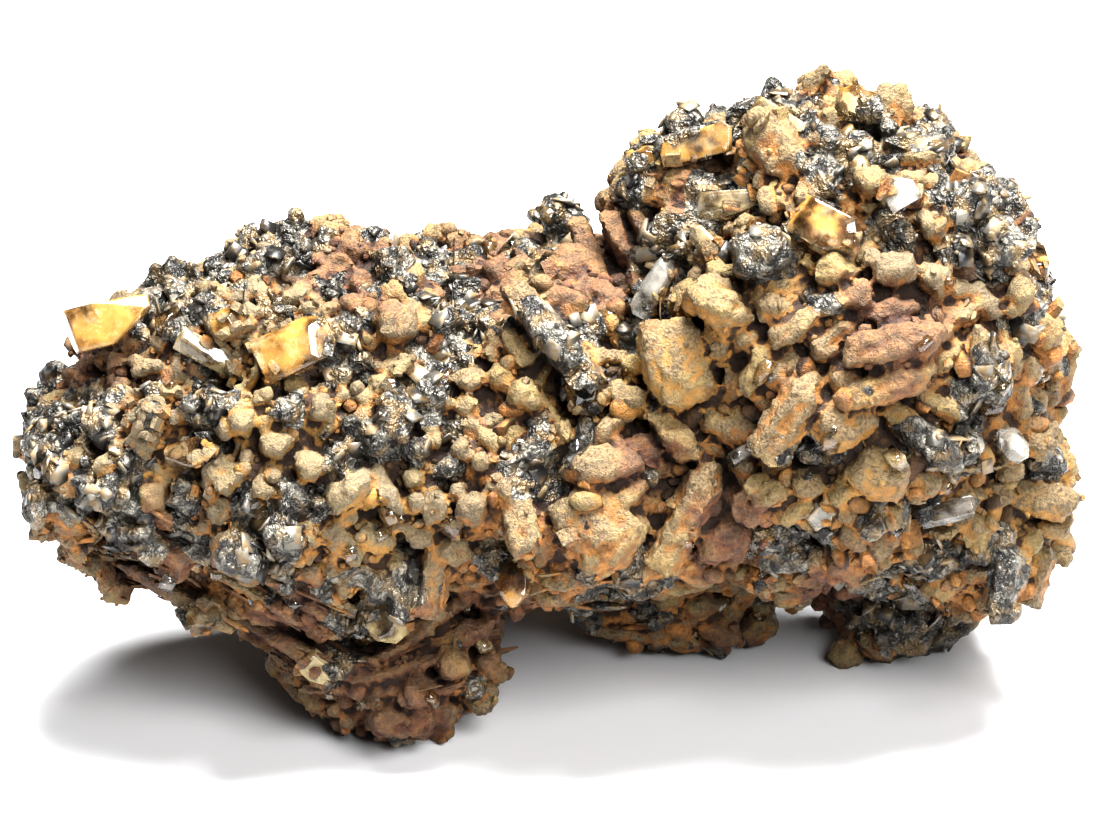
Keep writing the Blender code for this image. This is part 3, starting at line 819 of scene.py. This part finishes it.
# %% [markdown]
# ## Which knobs are black
#
# The black crust covers some knobs whole and leaves their neighbours bare. One way is to mask it by
# noise, but noise knows nothing of the knobs. Here each knob draws one number, which decides
# whether it is black, and every point of the skin takes the number of the nearest knob. A little
# noise then frays the border.

# %% Black knobs
PATCH = 1.7 * MM
FRAYING = 0.9

knob_middles = np.array([shape.points.mean(axis=0) for shape in grown_shapes])
knob_draws = chance.random(len(knob_middles))
knob_black = (strength(BLACK, seen_at(knob_middles)) * 0.95 + 0.06 > knob_draws).astype(float)
nearest = nearest_in(finder(knob_middles), skin_points)
patches = np.array([noise_at(Vector(point) / PATCH) for point in skin_points])
frayed = np.stack([knob_black[nearest] + patches * FRAYING] * 3, axis=1)
black = smoothed(frayed, skin_edges, 2)[:, 0]
print("black knobs:", int(knob_black.sum()), "of", len(knob_black))

# %% Notes on the points
def keep_as(mesh, name, values):
    """Stores one number for each point of the mesh, for the paint to read."""
    layer = mesh.attributes.new(name, "FLOAT", "POINT")
    layer.data.foreach_set("value", values.astype(np.float32))


places = seen_at(skin_points)
rust, ochre, grey = (strength(zones, places) for zones in (RUST, OCHRE, GREY))
skin_notes = {
    "rust": rust, "ochre": ochre, "grey": grey, "black": black, "draw": knob_draws[nearest],
    "fine": fine, "middling": middling, "broad": broad, "upward": upward,
}
for name, values in skin_notes.items():
    keep_as(skin.data, name, values)
print("notes on each point:", *skin_notes)

# %% [markdown]
# ## Small knobs on the skin
#
# Between the large knobs, and on some of them, sit small ones, from two millimetres down to less
# than half a millimetre across. A remesh fine enough for them would be far too heavy, so they are
# closed shells set into the skin, whose edges stay sharp where they meet it. Each takes its zone
# from the skin under it, is darkened at its foot by painted shade, and is pale at its top.

# %% Small knobs
ON_CRUST_SHARE = 0.35
# Forms, radii, tries, how far apart they stand, and how far each is lifted off the skin.
SMALL_SIZES = (
    (middling_knobs, (0.6, 1.0), 3200, 1.0, 0.2),
    (small_knobs, (0.35, 0.6), 6000, 1.0, 0.25),
    (small_knobs, (0.2, 0.35), 7000, 1.1, 0.3),
)
skin_tree = finder(skin_points)


def in_creases(points):
    """Small knobs crowd the creases, and only a few sit on top of the large ones."""
    under = nearest_in(skin_tree, points)
    on_growth = np.array([growth_tree.find_nearest(point)[3] < 0.6 * MM for point in points])
    crowded = np.where(on_growth, 0.05, 0.18 - 0.14 * points[:, 0] / HALF_LENGTH)
    wanted = ((fine[under] < -0.06) & ~on_growth) | (chance.random(len(points)) < crowded)
    return wanted & ((black[under] <= 0.5) | (chance.random(len(points)) < ON_CRUST_SHARE))


def shells(layer):
    """A layer of knobs as one shape, with the notes that the paint reads."""
    notes = {name: [] for name in skin_notes}
    for knob in layer:
        under = skin_tree.find(knob.foot)[1]
        height = (knob.shape.points - knob.foot) @ knob.outward / knob.radius
        own = {name: np.full(len(height), values[under]) for name, values in skin_notes.items()}
        # Relief made up from height: low at the knob's foot, where the paint puts painted shade, high at its
        # top.
        own["fine"] = np.clip((height - 0.35) * 0.2, -0.2, 0.14)
        own["middling"] = np.clip(own["middling"], -0.3, 0.3) + (height - 0.4) * 0.3
        own["draw"] = np.full(len(height), chance.random())
        for name, values in own.items():
            notes[name].append(values)
    shape = joined([knob.shape for knob in layer])
    return shape, {name: np.concatenate(values) for name, values in notes.items()}


small_layer = []
for forms, sizes, tries, closeness, lift in SMALL_SIZES:
    layer = knob_layer(forms, skin_shape, sizes, tries, closeness, lift, 0, chance, in_creases)
    small_layer += layer
print("small knobs:", len(small_layer))

# %% [markdown]
# ## Shader maths as Python
#
# A material is a sum of many small rules. Written as nodes they are hard to read, so one small
# class wraps a socket, and adding or multiplying two of them adds the Math node that does it.

# %% The wrapper
class Wire:
    """A shader value that Python operators work on."""

    def __init__(self, tree, socket):
        self.tree = tree
        self.socket = socket

    def _math(self, operation, *values, clamp=False):
        return node(self.tree, "ShaderNodeMath", {"operation": operation, "use_clamp": clamp}, *values)

    def __add__(self, other):
        return self._math("ADD", self, other)

    __radd__ = __add__

    def __sub__(self, other):
        return self._math("SUBTRACT", self, other)

    def __rsub__(self, other):
        return self._math("SUBTRACT", other, self)

    def __mul__(self, other):
        return self._math("MULTIPLY", self, other)

    __rmul__ = __mul__

    def __truediv__(self, other):
        return self._math("DIVIDE", self, other)

    def __abs__(self):
        return self._math("ABSOLUTE", self)

    def clamped(self):
        return self._math("ADD", self, 0.0, clamp=True)

    def between(self, low, high):
        """0 below low, 1 above high, and a soft rise between them."""
        settings = {"interpolation_type": "SMOOTHSTEP", "clamp": True}
        return node(self.tree, "ShaderNodeMapRange", settings, self, low, high, 0.0, 1.0)


def plug(tree, socket, value):
    """Links a wire to a socket, or sets a plain value on it."""
    if isinstance(value, Wire):
        tree.links.new(value.socket, socket)
    else:
        socket.default_value = value


def node(tree, kind, settings, *values, output=0, **named):
    """Adds a node: its settings first, then its sockets in order, or by name."""
    made = tree.nodes.new(kind)
    for name, value in settings.items():
        setattr(made, name, value)
    enabled = [socket for socket in made.inputs if socket.enabled]
    by_name = {socket.name: socket for socket in reversed(enabled)}
    for socket, value in zip(enabled, values):
        plug(tree, socket, value)
    for name, value in named.items():
        plug(tree, by_name[name.replace("_", " ")], value)
    if isinstance(output, str):
        return Wire(tree, made.outputs[output])
    return Wire(tree, [socket for socket in made.outputs if socket.enabled][output])


def mixed(tree, factor, first, second):
    """One colour over another."""
    settings = {"data_type": "RGBA", "clamp_factor": True}
    return node(tree, "ShaderNodeMix", settings, factor, first, second)


def bumps(tree, strength, depth, height):
    """A height as small bumps, up to this many millimetres deep."""
    return node(tree, "ShaderNodeBump", {}, Strength=strength, Distance=depth * MM, Height=height)


def attribute(tree, name):
    return node(tree, "ShaderNodeAttribute", {"attribute_name": name}, output="Fac")


def coordinates(tree):
    return node(tree, "ShaderNodeTexCoord", {}, output="Object")


def noise(tree, at, size, detail=3.0, roughness=0.55):
    """Soft noise between about 0 and 1, with lumps of this size in millimetres."""
    sockets = {"Scale": 1 / (size * MM), "Detail": detail, "Roughness": roughness}
    return node(tree, "ShaderNodeTexNoise", {}, Vector=at, output="Fac", **sockets)


def rgb(*values):
    return (*values, 1.0)


# %% A new material
def material(name):
    made = bpy.data.materials.new(name)
    made.use_nodes = True
    tree = made.node_tree
    return made, tree, tree.nodes["Principled BSDF"]


def name_and_nodes(made):
    """A line to print about a finished material."""
    return f"{made.name}: {len(made.node_tree.nodes)} nodes"


def feed(tree, shader, **wires):
    """Links wires to a shader's sockets, or sets plain values on them."""
    for name, value in wires.items():
        plug(tree, shader.inputs[name.replace("_", " ")], value)


# %% [markdown]
# ## Facets that glitter
#
# The black crust is a crinkled foil of tiny crystals, each with a flat face turned its own way, so
# that a few of them flash while the rest stay dark. Voronoi cells stand for them: each cell has a
# random colour, and taken as a slope, that colour tilts the whole cell. The slopes go into a
# Bump node as a height that rises across the cell, and noise that is folded at its middle adds the
# crinkles. The crust runs from black to silver grey, cell by cell, with a brown tarnish, and the
# loose crystals on it share its colour. On the skin the crinkles also set the crust's colour, as
# painted shade in their folds and painted highlight on their crests.

# %% Facet height
def facets(tree, at, size):
    """A height, in cell widths, that slopes a random way in every cell, and the cell's number."""
    settings = {"voronoi_dimensions": "3D", "feature": "F1"}
    scale = 1 / (size * MM)
    colour = node(tree, "ShaderNodeTexVoronoi", settings, Vector=at, Scale=scale, output="Color")
    middle = Wire(tree, colour.socket.node.outputs["Position"])
    difference, product = {"operation": "SUBTRACT"}, {"operation": "DOT_PRODUCT"}
    slope = node(tree, "ShaderNodeVectorMath", difference, colour, (0.5, 0.5, 0.5))
    offset = node(tree, "ShaderNodeVectorMath", difference, at, middle)
    rise = node(tree, "ShaderNodeVectorMath", product, slope, offset, output="Value")
    return rise / (size * MM), node(tree, "ShaderNodeSeparateColor", {}, colour)


# %% The crust's colour
CRUST_BLACK, CRUST_SILVER = rgb(0.014, 0.013, 0.012), rgb(0.135, 0.126, 0.106)
TARNISH = rgb(0.15, 0.098, 0.042)


def crust_colour(tree, at, own):
    """Black to silver grey, brighter in some facets, with a brown tarnish."""
    dark = mixed(tree, own.between(0.2, 0.9), CRUST_BLACK, CRUST_SILVER)
    tarnish = noise(tree, at, 2.2, 1.0).between(0.45, 0.7)
    return mixed(tree, tarnish * 0.6, dark, TARNISH)


# %% [markdown]
# ## The ore's paint
#
# The coat is sandy ochre. It is yellow in the shallow creases and dusty brown on top of the knobs,
# and painted shade makes it nearly black in the deep creases and the hollows. It is rusty red in its
# own zones, and glossy black where the crust shows. It is built up as a painter would, one thin layer
# over another, each with its own mask, and every border is broken by noise.

# %% The ore's colours
DARK_FLANK, LIGHT_FLANK = rgb(0.082, 0.028, 0.007), rgb(0.275, 0.112, 0.024)
OCHRE_COAT = rgb(0.255, 0.142, 0.030)
DARK_RUST, LIGHT_RUST = rgb(0.038, 0.014, 0.007), rgb(0.120, 0.045, 0.015)
DARK_DUST, LIGHT_DUST = rgb(0.030, 0.021, 0.011), rgb(0.122, 0.090, 0.046)
YELLOW_DUST, GREY_DUST = rgb(0.20, 0.148, 0.048), rgb(0.095, 0.083, 0.056)
CREASE_YELLOW = rgb(0.20, 0.092, 0.020)
# Painted shade, nearly black: the first for the creases, the second for the hollows.
CREASE_SHADE, HOLLOW_SHADE = rgb(0.012, 0.005, 0.0025), rgb(0.016, 0.007, 0.0035)


# %% Limonite
def limonite():
    made, tree, shader = material("limonite")
    at = coordinates(tree)
    fine_relief, middling_relief = attribute(tree, "fine"), attribute(tree, "middling")
    broad_relief, facing_up = attribute(tree, "broad"), attribute(tree, "upward")
    blotch, speck = noise(tree, at, 5.5), noise(tree, at, 1.1)
    grit = noise(tree, at, 0.36, 3.0, 0.75)
    draw = attribute(tree, "draw")
    flank = mixed(tree, speck.between(0.35, 0.7), DARK_FLANK, LIGHT_FLANK)
    flank = mixed(tree, attribute(tree, "ochre") * 0.6 + draw * 0.25, flank, OCHRE_COAT)
    rusty = mixed(tree, speck.between(0.3, 0.75), DARK_RUST, LIGHT_RUST)
    rust_mask = (attribute(tree, "rust") + (blotch - 0.5) * 1.6).between(0.25, 0.7)
    coat = mixed(tree, rust_mask, flank, rusty)
    standing_out = middling_relief * 0.8 + fine_relief * 0.5
    top = (standing_out + facing_up * 0.35 + (speck - 0.5) * 0.35).between(-0.05, 0.42)
    dusty_top = mixed(tree, grit.between(0.34, 0.62), DARK_DUST, LIGHT_DUST)
    sunny = (draw * 0.5 + speck * 0.7).between(0.55, 0.95)
    dusty_top = mixed(tree, sunny * 0.4, dusty_top, YELLOW_DUST)
    dusty_top = mixed(tree, attribute(tree, "grey") * 0.6, dusty_top, GREY_DUST)
    coat = mixed(tree, top * (1 - rust_mask * 0.65) * 0.92, coat, dusty_top)
    crease = (fine_relief * -1.0 + (speck - 0.5) * 0.2).between(0.04, 0.12)
    crease = crease * (blotch + speck).between(0.9, 1.2)
    coat = mixed(tree, crease * (1 - rust_mask * 0.6) * 0.5, coat, CREASE_YELLOW)
    # Painted shade: the creases between the knobs are darkened nearly to black.
    line = (fine_relief * -0.7 + middling_relief * -0.5 + (grit - 0.5) * 0.16).between(0.08, 0.26)
    coat = mixed(tree, line * 0.92, coat, CREASE_SHADE)
    # Painted shade: the broad hollows are darkened nearly to black.
    hollow_shade = (broad_relief * -1.0).between(0.3, 1.1)
    coat = mixed(tree, hollow_shade * 0.85, coat, HOLLOW_SHADE)
    rise, own = facets(tree, at, 1.5)
    crinkle_and_fold_shade = abs(noise(tree, at, 1.5, 3.0, 0.6) - 0.5) * 5
    black = attribute(tree, "black").between(0.47, 0.53)
    # Painted shade and highlight: on the skin the crust is darker in the crinkles' folds and lighter on
    # their crests.
    colour = mixed(tree, black, coat, crust_colour(tree, at, own * 0.5 + crinkle_and_fold_shade * 0.6))
    height = (rise * 0.5 + crinkle_and_fold_shade * 0.5) * black + (grit * 0.55 + speck * 0.45) * (1 - black)
    rough = 0.6 + (grit - 0.5) * 0.5 - black * 0.24
    feed(tree, shader, Base_Color=colour, Roughness=rough, Specular_IOR_Level=0.3)
    feed(tree, shader, Metallic=black * 0.35, Normal=bumps(tree, 1.0, 0.8, height))
    print(name_and_nodes(made))
    return made


skin.data.materials.clear()
skin.data.materials.append(limonite())

# %% [markdown]
# ## Loose black crystals
#
# On the crust stand splinters and plates of the same black ore. They are flat-sided and catch
# the light, so they stay real geometry. The splinter shapes are copied into the black zones:
# small ones that stand out, and flakes that lie flat.

# %% Setting the splinters
SMALL_SPLINTERS = 500
FLAKES = 1200
TRIES_FOR_EACH = 6
SPLINTER_ROOM = 0.5 * MM


def set_splinters(count, half_length, half_thickness, lean_by, chance):
    """Splinters on the black crust: small ones that stand out, or flakes that lie on it."""
    points, normals = spread(skin_shape, count * TRIES_FOR_EACH, chance)
    weight = strength(BLACK, seen_at(points))
    on_black = black[nearest_in(skin_tree, points)] > 0.5
    wanted = on_black & (chance.random(len(points)) < 0.15 + weight)
    shapes, own = [], []
    for index in np.flatnonzero(wanted)[:count]:
        point, normal = Vector(points[index]), Vector(normals[index])
        if not clear_of_quartz(point, SPLINTER_ROOM):
            continue
        axes = leaning_axes(normal, lean_by, chance)
        size = chance.uniform(*half_length) * MM
        sizes = (size, size * chance.uniform(0.6, 0.95), chance.uniform(*half_thickness) * MM)
        shape = kept_inside(moved(one_of(splinters, chance), placed(point, axes, sizes)))
        shapes.append(shape)
        own.append(np.full(len(shape.points), chance.random()))
    return shapes, own


small_shapes, small_own = set_splinters(SMALL_SPLINTERS, (0.25, 0.6), (0.1, 0.3), 0.7, chance)
flake_shapes, flake_own = set_splinters(FLAKES, (0.6, 1.25), (0.10, 0.22), 0.22, chance)
black_crystals = object_of("black_crystals", joined([*small_shapes, *flake_shapes]))
keep_as(black_crystals.data, "own", np.concatenate([*small_own, *flake_own]))
print("black crystals:", len(black_crystals.data.polygons), "triangles")

# %% [markdown]
# ## Finish of the black crystals
#
# The loose crystals are polished goethite: half metallic, dark, with faint growth lines across
# their faces and brown dust on some. The lines are far too fine to model, so a wave pattern in the
# Bump node stands for them.

# %% Black crystal finish
BROWN_DUST = rgb(0.10, 0.066, 0.028)


def black_crystal_finish():
    made, tree, shader = material("black_crystal")
    at = coordinates(tree)
    own = attribute(tree, "own")
    dust = (noise(tree, at, 1.1) + own * 0.25).between(0.62, 0.8)
    colour = mixed(tree, dust, crust_colour(tree, at, own), BROWN_DUST)
    bands = {"wave_type": "BANDS", "bands_direction": "DIAGONAL"}
    growth_lines = {"Vector": at, "Scale": 2600.0, "Distortion": 4.0}
    lines = node(tree, "ShaderNodeTexWave", bands, output="Fac", **growth_lines)
    feed(tree, shader, Base_Color=colour, Roughness=0.30 + dust * 0.4 + own * 0.1)
    feed(tree, shader, Metallic=0.4 - dust * 0.4, Normal=bumps(tree, 0.25, 0.08, lines))
    print(name_and_nodes(made))
    return made


black_crystals.data.materials.append(black_crystal_finish())

# %% [markdown]
# ## Quartz
#
# The larger crystals keep their measured places and sizes. A few small ones are added that the
# measured solids leave out. Each of these is a blunt prism, half sunk in the skin. Chance could
# scatter them, but the eye knows a stone by where its crystals sit, so each has its own place.

# %% Small crystals placed by name
Crystal = namedtuple("Crystal", "name across up length width turn rise finish")
SMALL_CRYSTALS = rows_of(
    Crystal,
    ("edge_chip", -54.4, -12.0, 2.6, 2.2, 10, 0, "clear_quartz"),
    ("pit_lump", -37.3, -21.9, 4.2, 3.4, 30, 0, "milky_quartz"),
    ("pit_prism", -35.7, -18.6, 5.4, 2.2, -50, 10, "clear_quartz"),
    ("amber_wedge", 24.3, -12.9, 3.2, 2.8, 20, 10, "amber_quartz"),
    ("grey_column", 23.2, -17.2, 4.4, 2.4, 70, 0, "clear_quartz"),
    ("dark_facets", 30.3, -10.5, 6.0, 4.0, 20, 0, "clear_quartz"),
    ("dark_plate", -0.5, 15.2, 3.8, 3.2, 60, 0, "clear_quartz"),
    ("amber_mass", 10.8, 27.4, 4.4, 3.4, 14, 10, "amber_quartz"),
    ("cream_lump", -24.8, -27.9, 3.8, 3.2, -40, 0, "milky_quartz"),
    ("pale_chip", -39.2, -8.8, 2.8, 2.4, 0, 0, "amber_quartz"),
    ("grey_facets", -43.2, -0.5, 3.8, 2.6, 70, 0, "clear_quartz"),
    ("brown_stub", -34.5, 9.8, 3.6, 3.2, 30, 10, "amber_quartz"),
    ("amber_chip", -44.6, 7.2, 3.4, 2.8, 60, 10, "amber_quartz"),
)
CRYSTAL_RISE = 0.5 * MM


def small_crystal(place):
    """A prism half sunk in the skin."""
    point = front_place(ore_tree, place.across, place.up)
    axes = front_axes(place.turn, place.rise)
    sizes = (place.length * MM / 2, place.width * MM / 2, place.width * MM / 2)
    shape = kept_inside(moved(prism, placed(point + axes[2] * CRYSTAL_RISE, axes, sizes)))
    return object_of("crystal_" + place.name, shape)


ore_tree = tree_of(skin_shape)
print("small crystals:", len(SMALL_CRYSTALS))

# %% [markdown]
# ## Chips and worn edges
#
# Real crystals are chipped, have worn edges, and are dusty where the ore has grown over them. So a
# copy of each is chipped by flat cuts near its corners, bevelled, and cut finer, and each of its
# points notes how near it is to the ore. Chips could be painted on, but only real ones catch light.

# %% Chipping and cutting finer
CHIPS = 8
NEAR_THE_ORE = 1.3 * MM
WEAR_WIDTH, WEAR_ANGLE = 0.09 * MM, 20
FINER_CUTS = 3
CRYSTAL_SMOOTHING = 18


def chipped(obj, chance):
    """Breaks off corners, wears the edges and cuts the faces finer."""
    points = arrays_of(obj.data).points
    open_mesh(obj)
    bpy.ops.mesh.remove_doubles(threshold=MERGE)
    for _ in range(CHIPS):
        normal = np.array(Vector(chance.normal(size=3)).normalized())
        along = points @ normal
        reach = along.max() - (along.max() - along.min()) * chance.uniform(0.04, 0.15)
        cut_away(normal * reach, normal)
    close_mesh()
    wear = obj.modifiers.new("Wear", "BEVEL")
    wear.width = WEAR_WIDTH
    wear.limit_method = "ANGLE"
    wear.angle_limit = math.radians(WEAR_ANGLE)
    apply_all(obj)
    open_mesh(obj)
    bpy.ops.mesh.quads_convert_to_tris()
    bpy.ops.mesh.subdivide(number_cuts=FINER_CUTS)
    close_mesh()
    bpy.ops.object.shade_smooth_by_angle(angle=math.radians(CRYSTAL_SMOOTHING))
    fine_points = arrays_of(obj.data).points
    distances = np.array([ore_tree.find_nearest(point)[3] for point in fine_points])
    keep_as(obj.data, "near", np.clip(1 - distances / NEAR_THE_ORE, 0, 1))
    keep_as(obj.data, "own", np.full(len(fine_points), chance.random()))


slot_of = {entry["node"]: entry["material_slot"] for entry in frame["record"]["subparts"]}
crystals = {}
for name, node_object in quartz_nodes.items():
    copy = bpy.data.objects.new(name.replace("quartz_", "crystal_"), node_object.data.copy())
    scene.collection.objects.link(copy)
    copy.data.materials.clear()
    crystals[copy] = (slot_of[name], name)
for place in SMALL_CRYSTALS:
    crystals[small_crystal(place)] = (place.finish, None)
for crystal in crystals:
    chipped(crystal, chance)
print("crystals:", len(crystals), "with", sum(len(c.data.polygons) for c in crystals), "faces")

# %% [markdown]
# ## Collars of crust
#
# The ore grew up the sides of most crystals, so a collar of knobs and splinters hides the line
# where crystal and ore meet. Points are spread over each crystal, and a knob is set on those that
# are on its sides and near the ore.

# %% Collars
COLLAR_TRIES = 220
COLLAR_REACH = 1.8 * MM
COLLAR_SHARE = 0.5


def collar(crystal, chance):
    """Knobs on the sides of a crystal, near the ore."""
    points, normals = spread(arrays_of(crystal.data), COLLAR_TRIES, chance)
    knobs = []
    for point, normal in zip(points, normals):
        _, outward, _, distance = ore_tree.find_nearest(point)
        sideways = abs(Vector(normal).dot(outward)) < 0.55
        if distance > COLLAR_REACH or not sideways or chance.random() > COLLAR_SHARE:
            continue
        radius = chance.uniform(0.3, 0.75) * MM
        axes = surface_axes(Vector(normal), chance.uniform(0, math.pi))
        sizes = (radius * chance.uniform(1, 1.7), radius, radius * 0.7)
        forms = splinters if chance.random() < 0.5 else small_knobs
        shape = kept_inside(moved(one_of(forms, chance), placed(point, axes, sizes)))
        knobs.append(Knob(shape, point, np.array(outward), radius))
    return knobs


collars = [knob for crystal in crystals for knob in collar(crystal, chance)]
small_layer += collars
print("collar knobs:", len(collars))

# %% [markdown]
# ## Looking into quartz
#
# Clear quartz lets light through and bends it. Milky quartz is full of tiny bubbles that scatter
# it. True scattering inside a volume is slow and noisy, so each crystal is a mix of two plain
# surfaces: tinted glass, and a cloudy body with veils, milk and healed cracks. Brown dust, and a
# pale rim beside it, lie where the crystal is near the ore, and the dust also hides the glass. Nearest
# the ore, painted shade darkens the crystal's foot nearly to black.

# %% Quartz finishes
CRACKS, RIM = rgb(0.36, 0.30, 0.19), rgb(0.21, 0.18, 0.12)
DUST, FOOT_SHADE = rgb(0.10, 0.055, 0.02), rgb(0.03, 0.02, 0.012)
Quartz = namedtuple("Quartz", "glass light dark milk cloudy")
QUARTZ = {
    "amber_quartz": Quartz(
        rgb(0.90, 0.68, 0.36), rgb(0.25, 0.135, 0.035), rgb(0.055, 0.024, 0.008), rgb(0.25, 0.19, 0.10), 0.42
    ),
    "milky_quartz": Quartz(
        rgb(0.95, 0.91, 0.78), rgb(0.26, 0.205, 0.105), rgb(0.12, 0.075, 0.03), rgb(0.33, 0.29, 0.20), 0.5
    ),
    "clear_quartz": Quartz(
        rgb(0.93, 0.93, 0.92), rgb(0.18, 0.17, 0.15), rgb(0.02, 0.019, 0.017), rgb(0.22, 0.21, 0.18), 0.3
    ),
}


def quartz(name, look):
    """Clear glass mixed with a cloudy body, brown dust near the ore, and painted shade at its foot."""
    made, tree, shader = material(name)
    at = coordinates(tree)
    own, near = attribute(tree, "own"), attribute(tree, "near")
    veils, flecks = noise(tree, at, 3.2, 3.0, 0.5), noise(tree, at, 0.5, 4.0, 0.7)
    inside = mixed(tree, (veils + (own - 0.5) * 0.3).between(0.43, 0.58), look.dark, look.light)
    milk = noise(tree, at, 1.7, 4.0, 0.6).between(0.50, 0.66)
    inside = mixed(tree, milk * 0.6, inside, look.milk)
    cracks = 1 - abs(noise(tree, at, 3.4, 2.0) - 0.5).between(0.002, 0.010)
    cracks = cracks * flecks.between(0.45, 0.55)
    inside = mixed(tree, cracks * 0.4, inside, CRACKS)
    dusty = (near + (flecks - 0.5) * 1.4).between(0.45, 0.9)
    inside = mixed(tree, dusty, inside, DUST)
    rim = near.between(0.25, 0.45) * (1 - near.between(0.55, 0.75)) * flecks.between(0.35, 0.5)
    inside = mixed(tree, rim * 0.5, inside, RIM)
    # Painted shade: the crystal's foot, next to the ore, darkened nearly to black.
    inside = mixed(tree, near.between(0.65, 0.85) * 0.9, inside, FOOT_SHADE)
    surface = bumps(tree, 0.3, 0.2, flecks * dusty + veils * 0.6)
    feed(tree, shader, Base_Color=look.glass, Roughness=0.12, IOR=1.55)
    feed(tree, shader, Transmission_Weight=1.0, Normal=surface)
    cloud = node(tree, "ShaderNodeBsdfPrincipled", {}, Base_Color=inside, IOR=1.5, Normal=surface)
    rough = 0.24 + dusty * 0.4 + milk * 0.2
    feed(tree, cloud.socket.node, Specular_IOR_Level=0.3, Roughness=rough)
    share = (veils - 0.5) * 2.4 + look.cloudy + (own - 0.5) * 0.4 + dusty
    glass = Wire(tree, shader.outputs[0])
    both = node(tree, "ShaderNodeMixShader", {}, share.clamped(), glass, cloud)
    feed(tree, tree.nodes["Material Output"], Surface=both)
    print(name_and_nodes(made))
    return made


finishes = {name: quartz(name, look) for name, look in QUARTZ.items()}
for crystal, (finish, _) in crystals.items():
    crystal.data.materials.append(finishes[finish])

# %% [markdown]
# ## Small grains
#
# Broken grains of quartz lie all over the stone, between its knobs. The splinter shapes serve
# again, nearly as wide as they are long. Grains of one finish are one piece.

# %% Small quartz grains
GRAINS = 200
GRAIN_ROOM = 1.2 * MM


def set_grains(count, chance):
    """Broken grains of quartz between the knobs, in three finishes."""
    points, normals = spread(skin_shape, count, chance)
    by_finish = {name: [] for name in finishes}
    for point, normal in zip(points, normals):
        point, normal = Vector(point), Vector(normal)
        if not clear_of_quartz(point, GRAIN_ROOM):
            continue
        axes = leaning_axes(normal, 0.7, chance)
        size = chance.uniform(0.5, 1.3) * MM
        sizes = [size * chance.uniform(*span) for span in ((0.9, 1.6), (0.6, 1.0), (0.5, 0.9))]
        shape = kept_inside(moved(one_of(splinters, chance), placed(point, axes, sizes)))
        by_finish[chance.choice(list(finishes))].append(shape)
    return {name: object_of("grains_" + name, joined(made)) for name, made in by_finish.items()}


grains = set_grains(GRAINS, chance)
for name, obj in grains.items():
    obj.data.materials.append(finishes[name])
    print(obj.name, len(obj.data.polygons), "triangles")

# %% [markdown]
# ## Finishing the pieces
#
# One mesh of the whole skin would be too heavy to store, so it is cut across into five pieces. The
# cuts are closed, which keeps each piece solid, and two neighbours meet exactly. Nothing may reach
# below the surface that the stone stands on, so what does is pressed flat there.

# %% Cutting the skin
SLABS = ("left_end", "left", "middle", "right", "right_end")
BEYOND = 1
CUTS = (-BEYOND, -32 * MM, -10 * MM, 12 * MM, 33 * MM, BEYOND)
SKIN_SMOOTHING = 48


def slab(obj, name, low, high):
    """The part of an object between two planes across X, closed at both, with its small knobs."""
    part = obj.copy()
    part.data = obj.data.copy()
    part.name = name
    scene.collection.objects.link(part)
    open_mesh(part)
    for place, side in ((low, -1), (high, 1)):
        if abs(place) < BEYOND:
            cut_away((place, 0, 0), (side, 0, 0))
    close_mesh()
    shape, notes = shells([knob for knob in small_layer if low <= knob.foot[0] < high])
    knobs = object_of(name + "_knobs", shape)
    for note, values in notes.items():
        keep_as(knobs.data, note, values)
    knobs.data.materials.append(obj.data.materials[0])
    only(knobs)
    part.select_set(True)
    bpy.context.view_layer.objects.active = part
    bpy.ops.object.join()
    bpy.ops.object.shade_smooth_by_angle(angle=math.radians(SKIN_SMOOTHING))
    return part


def pressed_flat(obj):
    """Moves what is below the surface up to it."""
    points = numbers_of(obj.data.vertices, "co")
    points[:, 2] = np.maximum(points[:, 2], 0)
    put_points(obj.data, points)


spans = zip(SLABS, CUTS, CUTS[1:])
pieces = [slab(skin, "limonite_" + name, low, high) for name, low, high in spans]
bpy.data.objects.remove(skin)
bpy.data.objects.remove(body)
for piece in [*pieces, black_crystals, *grains.values(), *crystals]:
    pressed_flat(piece)
    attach(piece, "root")
    print(piece.name, len(piece.data.loop_triangles), "triangles")
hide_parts("limonite_matrix")
for crystal, (finish, replaced) in crystals.items():
    if replaced:
        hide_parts(replaced)

# %% [markdown]
# ## Floor and light
#
# A white floor and a large soft light from above, as in a product photo. A weaker light in front
# opens the shadows.

# %% Floor
bpy.ops.object.select_all(action="DESELECT")
bpy.ops.mesh.primitive_plane_add(size=4)
floor = bpy.context.object
floor.name = "floor"
floor_look, floor_tree, floor_shader = material("floor")
feed(floor_tree, floor_shader, Base_Color=rgb(0.5, 0.5, 0.505), Roughness=0.7)
floor.data.materials.append(floor_look)


# %% Light
def area_light(name, place, aim, size, watts):
    data = bpy.data.lights.new(name, "AREA")
    data.size = size
    data.energy = watts
    light = bpy.data.objects.new(name, data)
    light.location = place
    light.rotation_mode = "QUATERNION"
    light.rotation_quaternion = (Vector(aim) - Vector(place)).to_track_quat("-Z", "Y")
    scene.collection.objects.link(light)
    print(name, "light:", watts, "W")


area_light("overhead", (0.08, 0.03, 0.6), (0, 0, 0.03), 0.34, 44.0)
area_light("front", (0.2, -0.45, 0.42), (0, 0, 0.03), 0.3, 10.0)
world = bpy.data.worlds.new("studio")
world.use_nodes = True
background = world.node_tree.nodes["Background"]
feed(world.node_tree, background, Color=rgb(1, 1, 1), Strength=0.1)
scene.world = world
scene.view_settings.view_transform = "Standard"
scene.view_settings.gamma = 0.86
